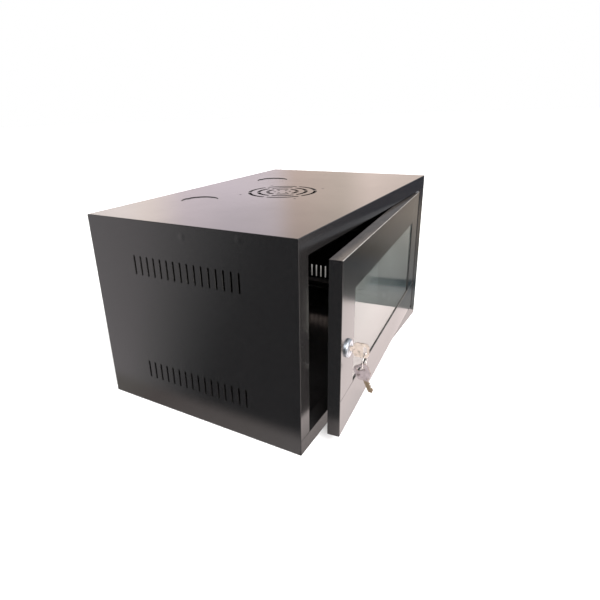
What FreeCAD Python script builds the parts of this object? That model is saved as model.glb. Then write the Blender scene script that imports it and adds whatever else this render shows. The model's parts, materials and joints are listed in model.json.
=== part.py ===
import FreeCAD, Part
import math
import os
import re
import Sketcher

# Driving sizes in millimetres, angles in degrees
SIZES = {
    # Shell of the cabinet
    "width": 540,
    "depth": 350,
    "height": 300,
    "sheet": 1.2,
    "edge_round": 1.0,
    "side_flange": 25,
    "top_flange": 25,
    "bottom_flange": 23,
    "lip_depth": 20,
    "rear_flange": 15,
    "seam_width": 1.0,
    "seam_depth": 0.8,
    # Vent slots of the sides
    "vent_width": 3.6,
    "vent_length": 29,
    "vent_clip": 1.2,
    "vent_drop": 1.5,
    "vent_pitch": 12,
    "vent_count": 16,
    "vent_row_inset": 65,
    # Fan and its grille
    "fan_size": 120,
    "fan_depth": 25,
    "fan_hole_inset": 7.5,
    "fan_rim": 2.5,
    "fan_plate": 4,
    "fan_tube_wall": 2.2,
    "fan_corner": 5,
    "fan_strut": 5,
    "fan_strut_thick": 3,
    "fan_motor": 42,
    "fan_hub": 39,
    "fan_hub_wall": 3,
    "fan_hub_gap": 1,
    "fan_boss": 10,
    "fan_boss_length": 9,
    "fan_shaft": 4,
    "fan_shaft_gap": 0.05,
    "fan_tip_gap": 1.5,
    "fan_end_gap": 2,
    "blade_count": 7,
    "blade_thick": 1.4,
    "blade_root_chord": 16,
    "blade_root_angle": 42,
    "blade_tip_chord": 30,
    "blade_tip_angle": 24,
    "fan_screw": 4,
    "fan_screw_gap": 0.1,
    "fan_screw_head": 7.5,
    "fan_screw_head_length": 2.6,
    "grille_ring_count": 3,
    "grille_inset": 0.3,
    "grille_slot": 5.8,
    "grille_ring_step": 15.5,
    "grille_spoke_count": 6,
    "grille_spoke": 5.5,
    "grille_hole": 5,
    "grille_hole_ring": 26,
    # Cable knock-outs of the top and the bottom
    "knock_size": 60,
    "knock_gap": 0.4,
    "knock_drop": 1,
    "knock_tab": 6,
    "knock_tab_lap": 2.5,
    "knock_tab_angle": 80,
    "knock_spread": 231,
    "knock_rear_inset": 85.5,
    # Wall fixing holes of the rear panel
    "wall_hole": 16,
    "wall_slot": 8,
    "wall_slot_rise": 14,
    "wall_hole_spread": 400,
    "wall_hole_rise": 180,
    # Rails and the bars that carry them
    "rail_sheet": 1.5,
    "rail_setback": 50,
    "rail_side_gap": 27,
    "rail_face": 18,
    "rail_web": 30,
    "rail_end_gap": 27,
    "rack_hole_inset": 7.55,
    "rack_hole": 9.5,
    "rack_unit": 44.45,
    "rack_hole_low": 6.35,
    "rack_hole_step": 15.875,
    "rack_hole_count": 3,
    "bar_height": 16,
    "bar_inset": 38,
    "bar_front_gap": 40,
    "bar_rear_gap": 25,
    "bar_slot_end": 15,
    "rail_bolt": 6,
    "rail_bolt_gap": 0.2,
    "rail_bolt_head": 10.5,
    "rail_bolt_head_length": 3.6,
    "rail_bolt_tail": 1.5,
    "rail_nut": 10,
    "rail_nut_thick": 5,
    "rail_nut_gap": 0.1,
    # Door leaf
    "door_angle": 5,
    "door_gap": 2.5,
    "door_end_gap": 3.5,
    "door_depth": 17,
    "door_return": 10,
    "stile": 54.5,
    "top_rail": 51.5,
    "bottom_rail": 53.5,
    # Hinge
    "hinge_inset": 7,
    "hinge_setback": 6,
    "hinge_pin": 6,
    "hinge_fit": 0.05,
    "hinge_pin_tail": 4,
    "hinge_collar": 11,
    "hinge_collar_gap": 0.3,
    "bush_size": 9,
    "bush_flange": 12,
    "bush_flange_thick": 1,
    "block_length": 20,
    "block_width": 10,
    "block_height": 8,
    # Glass and what holds it
    "glass_thick": 4,
    "glass_lap": 9,
    "tape_thick": 0.5,
    "tape_inset": 1.5,
    "clip_width": 12,
    "clip_sheet": 1,
    "clip_foot": 12,
    "clip_reach": 6,
    "clip_gap": 0.5,
    "clip_spacing": 140,
    "clip_count": 3,
    "clip_stud": 4,
    "clip_stud_gap": 0.1,
    "clip_stud_tail": 1,
    "clip_nut": 7,
    "clip_nut_thick": 3.2,
    # Lock
    "lock_drop": 2.4,
    "rose_size": 25,
    "rose_height": 4,
    "rose_round": 3,
    "barrel": 18,
    "barrel_gap": 0.1,
    "barrel_end_gap": 0.4,
    "lock_nut": 24,
    "lock_nut_thick": 4,
    "plug_size": 12,
    "plug_gap": 0.05,
    "plug_recess": 0.5,
    "plug_square": 7,
    "plug_square_gap": 0.1,
    "plug_square_end_gap": 0.2,
    "cam_clearance": 0.6,
    "cam_thick": 2.5,
    "cam_width": 14,
    "cam_length": 36,
    "cam_screw": 4,
    "cam_screw_gap": 0.05,
    "cam_screw_length": 7,
    "cam_screw_end_gap": 0.2,
    "cam_screw_head": 9,
    "cam_screw_head_length": 3,
    # Keys and their ring
    "key_thick": 2,
    "key_gap": 0.2,
    "key_blade": 7,
    "key_insert": 18,
    "key_neck": 3.5,
    "key_bow": 20,
    "key_bow_length": 21,
    "key_bow_round": 6,
    "key_slot": 5,
    "key_slot_length": 12,
    "key_slot_inset": 5.5,
    "key_notch": 2,
    "key_notch_pitch": 4,
    "key_notch_count": 3,
    "key_groove": 1.6,
    "key_groove_depth": 0.5,
    "key_groove_rise": 1,
    "key_panel_gap": 2.5,
    "key_panel_length": 8,
    "key_panel_height": 12,
    "key_panel_depth": 0.3,
    "ring_size": 21,
    "ring_wire": 1.6,
    "ring_gap": 0.4,
    "spare_tilt": 25,
    # Closing stops and earth stud
    "stop_width": 16,
    "stop_height": 18,
    "stop_inset": 45,
    "buffer_size": 8,
    "buffer_inset": 1.2,
    "buffer_gap": 0.2,
    "earth_stud": 6,
    "earth_stud_length": 14,
    "earth_stud_inset": 60,
    "earth_nut": 10,
    "earth_nut_thick": 5,
    "earth_nut_gap": 0.1,
}

# Places and sizes that follow from the driving sizes
LINKS = {
    "half_width": "width / 2",
    "front": "-depth / 2",
    "rear": "depth / 2",
    "inner_half": "width / 2 - sheet",
    "opening_half": "width / 2 - side_flange",
    "opening_low": "bottom_flange",
    "opening_high": "height - top_flange",
    "lip_end": "front + lip_depth",
    "vent_first": "-(vent_count - 1) * vent_pitch / 2",
    "fan_top": "height - sheet",
    "fan_low": "fan_top - fan_depth",
    "fan_hole": "fan_size / 2 - fan_hole_inset",
    "fan_bore": "fan_size - 2 * fan_rim",
    "grille_reach": "fan_size / 2 - grille_inset",
    "hub_low": "fan_low + fan_strut_thick + fan_hub_gap",
    "hub_high": "fan_top - fan_end_gap",
    "blade_middle": "(hub_low + hub_high) / 2",
    "blade_tip": "fan_bore / 2 - fan_tip_gap",
    "tip_plane": "sqrt(blade_tip ^ 2 - (blade_tip_chord / 2 * cos(blade_tip_angle) + blade_thick / 2) ^ 2)",
    "root_plane": "fan_hub / 2 - fan_hub_wall + blade_thick / 2",
    "knock_y": "rear - knock_rear_inset",
    "rail_outer": "half_width - rail_side_gap",
    "rail_inner": "rail_outer - rail_face",
    "rail_front": "front + rail_setback",
    "rail_bolt_y": "rail_front + rail_sheet + (rail_web - rail_sheet) / 2",
    "bar_front": "front + bar_front_gap",
    "bar_rear": "rear - bar_rear_gap",
    "rack_units": "floor((height - 2 * rail_end_gap) / rack_unit)",
    "rack_low": "height / 2 - rack_unit * rack_units / 2",
    "hinge_x": "opening_half - door_gap - hinge_inset",
    "hinge_y": "front + hinge_setback",
    "door_right": "hinge_inset",
    "door_left": "hinge_inset - 2 * (opening_half - door_gap)",
    "door_front": "-hinge_setback",
    "door_inner": "door_front + sheet",
    "door_back": "door_front + door_depth",
    "door_low": "opening_low + door_end_gap",
    "door_high": "opening_high - door_end_gap",
    "door_middle": "(door_left + door_right) / 2",
    "window_left": "door_left + stile",
    "window_right": "door_right - stile",
    "window_low": "door_low + bottom_rail",
    "window_high": "door_high - top_rail",
    "glass_front": "door_inner + tape_thick",
    "glass_back": "glass_front + glass_thick",
    "clip_stud_offset": "glass_lap + clip_gap + clip_sheet + clip_foot / 2",
    "clip_stud_length": "clip_sheet + clip_nut_thick + clip_stud_tail",
    "lock_x": "door_left + stile / 2",
    "lock_z": "(door_low + door_high) / 2 - lock_drop",
    "rose_front": "door_front - rose_height",
    "plug_front": "rose_front + plug_recess",
    "cam_front": "door_front + lip_depth + cam_clearance",
    "cam_back": "cam_front + cam_thick",
    "barrel_end": "cam_front - barrel_end_gap",
    "key_slot_out": "key_neck + key_bow_length - key_slot_inset",
    "key_wire_drop": "key_slot_length / 2 - ring_wire / 2 - ring_gap",
    "buffer_front": "front + door_depth + buffer_gap",
}

doc = FreeCAD.newDocument("wall_cabinet")
sheet = doc.addObject("Spreadsheet::Sheet", "Sizes")
for row, (name, number) in enumerate(SIZES.items(), start=1):
    sheet.set(f"A{row}", name)
    sheet.set(f"B{row}", str(number))
    sheet.setAlias(f"B{row}", name)
doc.recompute()

parts = []


# Expressions

def bound(text):
    """The text with each size named as a cell of the sheet."""
    def swap(match):
        word = match.group(0)
        if word in LINKS:
            return "(" + bound(LINKS[word]) + ")"
        if word in SIZES:
            return "Sizes." + word
        return word
    return re.sub(r"[a-z][a-z_]*", swap, str(text))


def value(text):
    """The number that an expression in sizes comes to."""
    return float(sheet.evalExpression(bound(text)))


# Sketches

def constrain(sketch, kind, places, text):
    """A dimension of the sketch, bound to an expression."""
    index = sketch.addConstraint(Sketcher.Constraint(kind, *places, value(text)))
    sketch.setExpression(f"Constraints[{index}]", bound(text))


def pin_point(sketch, geometry, point, across, along):
    """Holds one point of the sketch at a place measured from its origin."""
    constrain(sketch, "DistanceX", (-1, 1, geometry, point), across)
    constrain(sketch, "DistanceY", (-1, 1, geometry, point), along)


def vector(across, along):
    return FreeCAD.Vector(value(across), value(along), 0)


def polygon(*corners):
    """A closed outline with straight sides."""
    def draw(sketch):
        first = sketch.GeometryCount
        count = len(corners)
        for index in range(count):
            start = vector(*corners[index])
            end = vector(*corners[(index + 1) % count])
            sketch.addGeometry(Part.LineSegment(start, end))
        for index in range(count):
            following = first + (index + 1) % count
            sketch.addConstraint(Sketcher.Constraint("Coincident", first + index, 2, following, 1))
        for index, corner in enumerate(corners):
            pin_point(sketch, first + index, 1, *corner)
    return draw


def rectangle(left, right, low, high):
    return polygon((left, low), (right, low), (right, high), (left, high))


def circle(across, along, diameter):
    def draw(sketch):
        radius = value(diameter) / 2
        index = sketch.addGeometry(Part.Circle(vector(across, along), FreeCAD.Vector(0, 0, 1), radius))
        pin_point(sketch, index, 3, across, along)
        constrain(sketch, "Diameter", (index,), diameter)
    return draw


def hexagon(across, along, flats):
    """A nut's outline, with the distance over its flats."""
    corners = []
    for turn in range(0, 360, 60):
        reach = f"({flats}) / 2 / cos(30)"
        corners.append((f"({across}) + {reach} * cos({turn})", f"({along}) + {reach} * sin({turn})"))
    return polygon(*corners)


def slot(across, along, breadth, rise):
    """A slot with round ends, `rise` long over all, that runs along the sketch's second axis."""
    def draw(sketch):
        radius = value(breadth) / 2
        reach = f"(({rise}) - ({breadth})) / 2"
        centres = (f"({along}) + {reach}", f"({along}) - {reach}")
        first = sketch.GeometryCount
        for turn, centre in enumerate(centres):
            ring = Part.Circle(vector(across, centre), FreeCAD.Vector(0, 0, 1), radius)
            sketch.addGeometry(Part.ArcOfCircle(ring, turn * math.pi, (turn + 1) * math.pi))
        top, bottom = first, first + 1
        for sign, start, end in ((-1, centres[0], centres[1]), (1, centres[1], centres[0])):
            edge = f"({across}) + {sign} * ({breadth}) / 2"
            sketch.addGeometry(Part.LineSegment(vector(edge, start), vector(edge, end)))
        left, right = first + 2, first + 3
        for one, two in (((top, 2), (left, 1)), ((left, 2), (bottom, 1)),
                         ((bottom, 2), (right, 1)), ((right, 2), (top, 1))):
            sketch.addConstraint(Sketcher.Constraint("Tangent", *one, *two))
        sketch.addConstraint(Sketcher.Constraint("Equal", top, bottom))
        pin_point(sketch, top, 3, across, centres[0])
        pin_point(sketch, bottom, 3, across, centres[1])
        constrain(sketch, "Diameter", (top,), breadth)
    return draw


def ring_sector(inner, outer, spoke, span):
    """A piece of a ring between two straight spokes, the first along the sketch's first axis."""
    def draw(sketch):
        half = value(spoke) / 2
        turn = math.radians(value(span))
        first = sketch.GeometryCount
        for radius in (value(inner), value(outer)):
            start = math.asin(half / radius)
            ring = Part.Circle(FreeCAD.Vector(0, 0, 0), FreeCAD.Vector(0, 0, 1), radius)
            sketch.addGeometry(Part.ArcOfCircle(ring, start, turn - start))
        near, far = first, first + 1
        for point in (1, 2):
            ends = [sketch.getPoint(arc, point) for arc in (near, far)]
            sketch.addGeometry(Part.LineSegment(*ends))
        for point, side in ((1, first + 2), (2, first + 3)):
            sketch.addConstraint(Sketcher.Constraint("Coincident", near, point, side, 1))
            sketch.addConstraint(Sketcher.Constraint("Coincident", far, point, side, 2))
        for arc, radius in ((near, inner), (far, outer)):
            sketch.addConstraint(Sketcher.Constraint("Coincident", arc, 3, -1, 1))
            constrain(sketch, "Radius", (arc,), radius)
        sketch.addConstraint(Sketcher.Constraint("Horizontal", first + 2))
        constrain(sketch, "DistanceY", (-1, 1, first + 2, 1), f"({spoke}) / 2")
        constrain(sketch, "Angle", (first + 3,), span)
        constrain(sketch, "Distance", (-1, 1, first + 3), f"({spoke}) / 2")
    return draw


# Features

ROLES = {"z": "XY_Plane", "y": "XZ_Plane", "x": "YZ_Plane"}


def origin_feature(body, role):
    return next(item for item in body.Origin.OriginFeatures if item.Role == role)


def new_body(label):
    body = doc.addObject("PartDesign::Body", label)
    body.Label = label
    body.AllowCompound = True
    parts.append(body)
    return body


def draw_sketch(body, axis, start, outlines):
    """A sketch square to an axis, at a place along it, with closed outlines."""
    sketch = body.newObject("Sketcher::SketchObject", body.Label + "_sketch")
    sketch.AttachmentSupport = [(origin_feature(body, ROLES[axis]), "")]
    sketch.MapMode = "FlatFace"
    sign = -1 if axis == "y" else 1
    sketch.setExpression("AttachmentOffset.Base.z", bound(f"{sign} * ({start})"))
    for outline in outlines:
        outline(sketch)
    return sketch


def extrude(kind, body, axis, start, length, outlines):
    sketch = draw_sketch(body, axis, start, outlines)
    before = body.Shape.Volume if body.Tip else 0
    feature = body.newObject("PartDesign::" + kind, body.Label + "_" + kind.lower())
    feature.Profile = sketch
    feature.setExpression("Length", bound(length))
    feature.Reversed = (axis == "y") == (kind == "Pad")
    doc.recompute()
    change = body.Shape.Volume - before
    if (change > 0) != (kind == "Pad") or abs(change) < 1e-6:
        raise RuntimeError(f"{feature.Name} changes nothing")
    return feature


def pad(body, axis, start, length, *outlines):
    """Adds material from `start` along the positive axis."""
    return extrude("Pad", body, axis, start, length, outlines)


def pocket(body, axis, start, length, *outlines):
    """Takes material away from `start` along the positive axis."""
    return extrude("Pocket", body, axis, start, length, outlines)


def repeat_row(body, feature, axis, count, length):
    pattern = body.newObject("PartDesign::LinearPattern", body.Label + "_row")
    pattern.Originals = [feature]
    pattern.Direction = (origin_feature(body, axis + "_Axis"), [""])
    pattern.setExpression("Length", bound(length))
    pattern.setExpression("Occurrences", bound(count))
    body.Tip = pattern
    doc.recompute()


def repeat_round(body, feature, count):
    pattern = body.newObject("PartDesign::PolarPattern", body.Label + "_ring")
    pattern.Originals = [feature]
    pattern.Axis = (origin_feature(body, "Z_Axis"), [""])
    pattern.Angle = 360
    pattern.setExpression("Occurrences", bound(count))
    body.Tip = pattern
    doc.recompute()


def round_edges(body, radius, *lines):
    """Rounds the straight edges that lie on the given lines, each named by two fixed coordinates."""
    inverse = body.Placement.inverse()
    shape = body.Shape.copy()
    shape.Placement = inverse.multiply(shape.Placement)
    names = []
    for index, edge in enumerate(shape.Edges, start=1):
        for line in lines:
            wanted = [(axis, value(text)) for axis, text in line.items()]
            if all(abs(getattr(vertex.Point, axis) - number) < 1e-4
                   for vertex in edge.Vertexes for axis, number in wanted):
                names.append(f"Edge{index}")
    if not names:
        raise RuntimeError(body.Label + " has no such edge")
    base = body.Tip
    fillet = body.newObject("PartDesign::Fillet", body.Label + "_round")
    fillet.Base = (base, sorted(set(names)))
    fillet.setExpression("Radius", bound(radius))
    body.Tip = fillet
    doc.recompute()


# Places on the door, which stands open by the door angle

def door_place(across="0", along="0", up="0"):
    """Expressions in the cabinet's frame for a place in the door's frame, whose Z axis is the hinge."""
    turned_x = f"hinge_x + ({across}) * cos(door_angle) - ({along}) * sin(door_angle)"
    turned_y = f"hinge_y + ({across}) * sin(door_angle) + ({along}) * cos(door_angle)"
    return turned_x, turned_y, up


def hang_on_door(body, across="0", along="0", up="0"):
    """Turns a body with the door, its own origin at a place in the door's frame."""
    for axis, text in zip("xyz", door_place(across, along, up)):
        body.setExpression("Placement.Base." + axis, bound(text))
    body.setExpression("Placement.Rotation.Angle", bound("door_angle"))
    doc.recompute()


def door_placement(across, along, up, turn):
    """The same as a placement, with a turn of its own about the door's X axis first."""
    base = FreeCAD.Vector(*[value(text) for text in door_place(across, along, up)])
    swing = FreeCAD.Rotation(FreeCAD.Vector(0, 0, 1), value("door_angle"))
    tilt = FreeCAD.Rotation(FreeCAD.Vector(1, 0, 0), value(turn))
    return FreeCAD.Placement(base, swing.multiply(tilt))


# Shell

def side_panel(label, side):
    """A folded side: wall, front flange and the lip that frames the opening."""
    body = new_body(label)
    wall = "-half_width" if side < 0 else "inner_half"
    pad(body, "x", wall, "sheet", rectangle("front + sheet", "rear", "sheet", "height - sheet"))
    outer = f"{side} * half_width"
    inner = f"{side} * inner_half"
    edge = f"{side} * opening_half"
    lip = f"{side} * (opening_half + sheet)"
    fold = polygon((outer, "front"), (edge, "front"), (edge, "lip_end"), (lip, "lip_end"),
                   (lip, "front + sheet"), (inner, "front + sheet"), (outer, "front + sheet"))
    pad(body, "z", "opening_low", "opening_high - opening_low", fold)
    left, right = sorted((outer, edge), key=value)
    pocket(body, "y", "front", "seam_depth",
           rectangle(left, right, "opening_low", "opening_low + seam_width"))
    round_edges(body, "edge_round", {"x": outer, "y": "front"}, {"x": edge, "y": "front"})
    rows = [vent("vent_first", centre)
            for centre in ("vent_row_inset - vent_drop", "height - vent_row_inset - vent_drop")]
    vents = pocket(body, "x", wall, "sheet", *rows)
    repeat_row(body, vents, "Y", "vent_count", "(vent_count - 1) * vent_pitch")


def vent(across, along):
    """A punched vent with its corners clipped."""
    wide, tall = "(vent_width / 2)", "(vent_length / 2)"
    narrow, short = f"({wide} - vent_clip)", f"({tall} - vent_clip)"
    corners = ((wide, f"-{short}"), (wide, short), (narrow, tall), (f"-{narrow}", tall),
               (f"-{wide}", short), (f"-{wide}", f"-{short}"), (f"-{narrow}", f"-{tall}"),
               (narrow, f"-{tall}"))
    return polygon(*[(f"{across} + {right}", f"{along} + {up}") for right, up in corners])


def end_panel(label, plate_low, flange_low, flange_high, lip_low):
    """A folded top or bottom: plate, front flange over the full width and lip."""
    body = new_body(label)
    pad(body, "z", plate_low, "sheet", rectangle("-half_width", "half_width", "front", "rear"))
    pad(body, "y", "front", "sheet", rectangle("-half_width", "half_width", flange_low, flange_high))
    reach = "opening_half + sheet"
    pad(body, "y", "front", "lip_depth", rectangle(f"-({reach})", reach, lip_low, f"{lip_low} + sheet"))
    pocket(body, "z", lip_low, "sheet", circle("hinge_x", "hinge_y", "bush_size"))
    outer = "height" if plate_low != "0" else "0"
    round_edges(body, "edge_round",
                {"y": "front", "z": outer}, {"y": "rear", "z": outer},
                {"x": "-half_width", "z": outer}, {"x": "half_width", "z": outer},
                {"x": "-half_width", "y": "front"}, {"x": "half_width", "y": "front"})
    return body


def knock_outs(body, plate_low, disc_low, tab_low):
    """Two cable entries closed by discs, pressed in and held by two tabs each."""
    centres = ("-knock_spread / 2", "knock_spread / 2")
    pocket(body, "z", plate_low, "sheet",
           *[circle(centre, "knock_y", "knock_size") for centre in centres])
    tabs = []
    for centre in centres:
        for turn in ("knock_tab_angle", "knock_tab_angle + 180"):
            tabs.append(tab_outline(centre, turn))
    pad(body, "z", tab_low, "sheet + knock_drop", *tabs)
    pad(body, "z", disc_low, "sheet",
        *[circle(centre, "knock_y", "knock_size - 2 * knock_gap") for centre in centres])


def tab_outline(centre, turn):
    """A tab across the edge of a knock-out, at an angle from the X axis."""
    corners = []
    for reach, offset in ((-1, -1), (1, -1), (1, 1), (-1, 1)):
        radius = f"(knock_size / 2 + {reach} * knock_tab_lap)"
        across = f"({offset} * knock_tab / 2)"
        corners.append((f"{centre} + {radius} * cos({turn}) - {across} * sin({turn})",
                        f"knock_y + {radius} * sin({turn}) + {across} * cos({turn})"))
    return polygon(*corners)


def top_panel():
    body = end_panel("top_panel", "height - sheet", "opening_high", "height", "opening_high")
    knock_outs(body, "height - sheet", "height - sheet - knock_drop", "height - sheet - knock_drop")
    holes = [circle(f"{across} * fan_hole", f"{along} * fan_hole", "fan_screw + 2 * fan_screw_gap")
             for across in (-1, 1) for along in (-1, 1)]
    pocket(body, "z", "height - sheet", "sheet", *holes)
    span = "360 / grille_spoke_count"
    openings = []
    for ring in range(round(value("grille_ring_count"))):
        outer = f"grille_reach - {ring} * grille_ring_step"
        openings.append(ring_sector(f"{outer} - grille_slot", outer, "grille_spoke", span))
    openings.append(circle("grille_hole_ring / 2", "0", "grille_hole"))
    sector = pocket(body, "z", "height - sheet", "sheet", *openings)
    repeat_round(body, sector, "grille_spoke_count")


def bottom_panel():
    body = end_panel("bottom_panel", "0", "0", "bottom_flange", "bottom_flange - sheet")
    knock_outs(body, "0", "knock_drop", "0")


def rear_panel():
    """A pan between the sides, with its rim turned forward and four keyhole slots for the wall."""
    body = new_body("rear_panel")
    pad(body, "y", "rear - sheet", "sheet",
        rectangle("-inner_half", "inner_half", "sheet", "height - sheet"))
    pad(body, "y", "rear - rear_flange", "rear_flange",
        rectangle("-inner_half", "inner_half", "sheet", "height - sheet"),
        rectangle("-inner_half + sheet", "inner_half - sheet", "2 * sheet", "height - 2 * sheet"))
    places = [(f"{across} * wall_hole_spread / 2", f"height / 2 + {up} * wall_hole_rise / 2")
              for across in (-1, 1) for up in (-1, 1)]
    pocket(body, "y", "rear - sheet", "sheet",
           *[circle(across, up, "wall_hole") for across, up in places])
    pocket(body, "y", "rear - sheet", "sheet",
           *[slot(across, f"{up} + wall_slot_rise / 2", "wall_slot", "wall_slot_rise + wall_slot")
             for across, up in places])


# Rails, their bars and bolts

BAR_HEIGHTS = {"lower": "bar_inset", "upper": "height - bar_inset"}
SIDES = {"left": -1, "right": 1}


def depth_bar(label, side, middle):
    """A channel welded to the side, with a long slot that the rail bolts slide in."""
    body = new_body(label)
    low = f"{middle} - bar_height / 2"
    high = f"{middle} + bar_height / 2"
    web = f"{side} * rail_outer"
    back = f"{side} * (rail_outer + rail_sheet)"
    wall = f"{side} * inner_half"
    channel = polygon((wall, low), (web, low), (web, high), (wall, high), (wall, f"{high} - rail_sheet"),
                      (back, f"{high} - rail_sheet"), (back, f"{low} + rail_sheet"),
                      (wall, f"{low} + rail_sheet"))
    pad(body, "y", "bar_front", "bar_rear - bar_front", channel)
    half = "(rail_bolt / 2 + rail_bolt_gap)"
    pocket(body, "x", min((web, back), key=value), "rail_sheet",
           rectangle("bar_front + bar_slot_end", "bar_rear - bar_slot_end",
                     f"{middle} - {half}", f"{middle} + {half}"))


def rail(label, side):
    """A 19-inch rail: face with square holes in threes for each unit, and a web along the bars."""
    body = new_body(label)
    inner = f"{side} * rail_inner"
    outer = f"{side} * rail_outer"
    web = f"{side} * (rail_outer - rail_sheet)"
    back = "rail_front + rail_sheet"
    section = polygon((inner, "rail_front"), (outer, "rail_front"), (outer, "rail_front + rail_web"),
                      (web, "rail_front + rail_web"), (web, back), (inner, back))
    pad(body, "z", "rail_end_gap", "height - 2 * rail_end_gap", section)
    centre = f"{side} * (rail_inner + rack_hole_inset)"
    holes = []
    for step in range(round(value("rack_hole_count"))):
        middle = f"rack_low + rack_hole_low + {step} * rack_hole_step"
        holes.append(rectangle(f"{centre} - rack_hole / 2", f"{centre} + rack_hole / 2",
                               f"{middle} - rack_hole / 2", f"{middle} + rack_hole / 2"))
    unit = pocket(body, "y", "rail_front", "rail_sheet", *holes)
    repeat_row(body, unit, "Z", "rack_units", "(rack_units - 1) * rack_unit")
    pocket(body, "x", min((web, outer), key=value), "rail_sheet",
           *[circle("rail_bolt_y", middle, "rail_bolt + 2 * rail_bolt_gap")
             for middle in BAR_HEIGHTS.values()])


def rail_fasteners():
    """Bolts from inside the rails and nuts behind the bars."""
    bolts = new_body("rail_bolts")
    nuts = new_body("rail_nuts")
    shank = "2 * rail_sheet + rail_nut_thick + rail_bolt_tail"
    for side in SIDES.values():
        seat = "rail_outer - rail_sheet"
        heads = [circle("rail_bolt_y", middle, "rail_bolt_head") for middle in BAR_HEIGHTS.values()]
        shanks = [circle("rail_bolt_y", middle, "rail_bolt") for middle in BAR_HEIGHTS.values()]
        rings = [hexagon("rail_bolt_y", middle, "rail_nut") for middle in BAR_HEIGHTS.values()]
        bores = [circle("rail_bolt_y", middle, "rail_bolt + 2 * rail_nut_gap")
                 for middle in BAR_HEIGHTS.values()]
        if side > 0:
            head_low, shank_low = f"{seat} - rail_bolt_head_length", seat
            nut_low = "rail_outer + rail_sheet"
        else:
            head_low, shank_low = f"-({seat})", f"-({seat}) - ({shank})"
            nut_low = "-(rail_outer + rail_sheet + rail_nut_thick)"
        pad(bolts, "x", head_low, "rail_bolt_head_length", *heads)
        pad(bolts, "x", shank_low, shank, *shanks)
        pad(nuts, "x", nut_low, "rail_nut_thick", *rings, *bores)


# Fan

def fan_frame():
    """A square axial fan frame: two flanges, tube, cross struts and bearing boss."""
    body = new_body("fan_frame")
    square = rectangle("-fan_size / 2", "fan_size / 2", "-fan_size / 2", "fan_size / 2")
    bore = circle("0", "0", "fan_bore")
    pad(body, "z", "fan_low", "fan_plate", square, bore)
    pad(body, "z", "fan_low", "fan_depth", circle("0", "0", "fan_bore + 2 * fan_tube_wall"), bore)
    pad(body, "z", "fan_top - fan_plate", "fan_plate", square, bore)
    half = "fan_size / 2"
    round_edges(body, "fan_corner", {"x": half, "y": half}, {"x": half, "y": f"-{half}"},
                {"x": f"-{half}", "y": half}, {"x": f"-{half}", "y": f"-{half}"})
    holes = [circle(f"{across} * fan_hole", f"{along} * fan_hole", "fan_screw + 2 * fan_screw_gap")
             for across in (-1, 1) for along in (-1, 1)]
    pocket(body, "z", "fan_low", "fan_depth", *holes)
    reach = "(fan_bore / 2 + fan_tube_wall / 2)"
    breadth = "fan_strut / 2"
    pad(body, "z", "fan_low", "fan_strut_thick",
        rectangle(f"-{reach}", reach, f"-{breadth}", breadth))
    pad(body, "z", "fan_low", "fan_strut_thick",
        rectangle(f"-{breadth}", breadth, f"-{reach}", reach))
    pad(body, "z", "fan_low", "fan_strut_thick", circle("0", "0", "fan_motor"))
    pad(body, "z", "fan_low + fan_strut_thick", "fan_boss_length", circle("0", "0", "fan_boss"))
    pocket(body, "z", "fan_low + fan_strut_thick", "fan_boss_length",
           circle("0", "0", "fan_shaft + 2 * fan_shaft_gap"))


def blade_section(plane, chord, pitch):
    """A blade's cross-section, a slanted strip at a distance from the axis."""
    corners = []
    for reach, offset in ((-1, -1), (1, -1), (1, 1), (-1, 1)):
        across = f"{reach} * {chord} / 2 * cos({pitch}) - {offset} * blade_thick / 2 * sin({pitch})"
        up = f"{reach} * {chord} / 2 * sin({pitch}) + {offset} * blade_thick / 2 * cos({pitch})"
        corners.append((across, f"blade_middle + {up}"))
    return plane, polygon(*corners)


def fan_rotor():
    """A cup-shaped hub on a shaft, with twisted blades."""
    body = new_body("fan_rotor")
    pad(body, "z", "hub_low", "hub_high - hub_low", circle("0", "0", "fan_hub"))
    sections = []
    for plane, outline in (blade_section("root_plane", "blade_root_chord", "blade_root_angle"),
                           blade_section("tip_plane", "blade_tip_chord", "blade_tip_angle")):
        sections.append(draw_sketch(body, "x", plane, [outline]))
    blade = body.newObject("PartDesign::AdditiveLoft", "fan_rotor_blade")
    blade.Profile = sections[0]
    blade.Sections = sections[1:]
    blade.Ruled = True
    doc.recompute()
    repeat_round(body, blade, "blade_count")
    pocket(body, "z", "hub_low", "hub_high - hub_low - fan_hub_wall",
           circle("0", "0", "fan_hub - 2 * fan_hub_wall"))
    pad(body, "z", "hub_low", "hub_high - hub_low", circle("0", "0", "fan_shaft"))


def fan_screws():
    """Screws from below through the frame, their ends flush with the top."""
    body = new_body("fan_screws")
    places = [(f"{across} * fan_hole", f"{along} * fan_hole") for across in (-1, 1) for along in (-1, 1)]
    pad(body, "z", "fan_low - fan_screw_head_length", "fan_screw_head_length",
        *[circle(across, along, "fan_screw_head") for across, along in places])
    pad(body, "z", "fan_low", "height - fan_low",
        *[circle(across, along, "fan_screw") for across, along in places])


# Door

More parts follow.
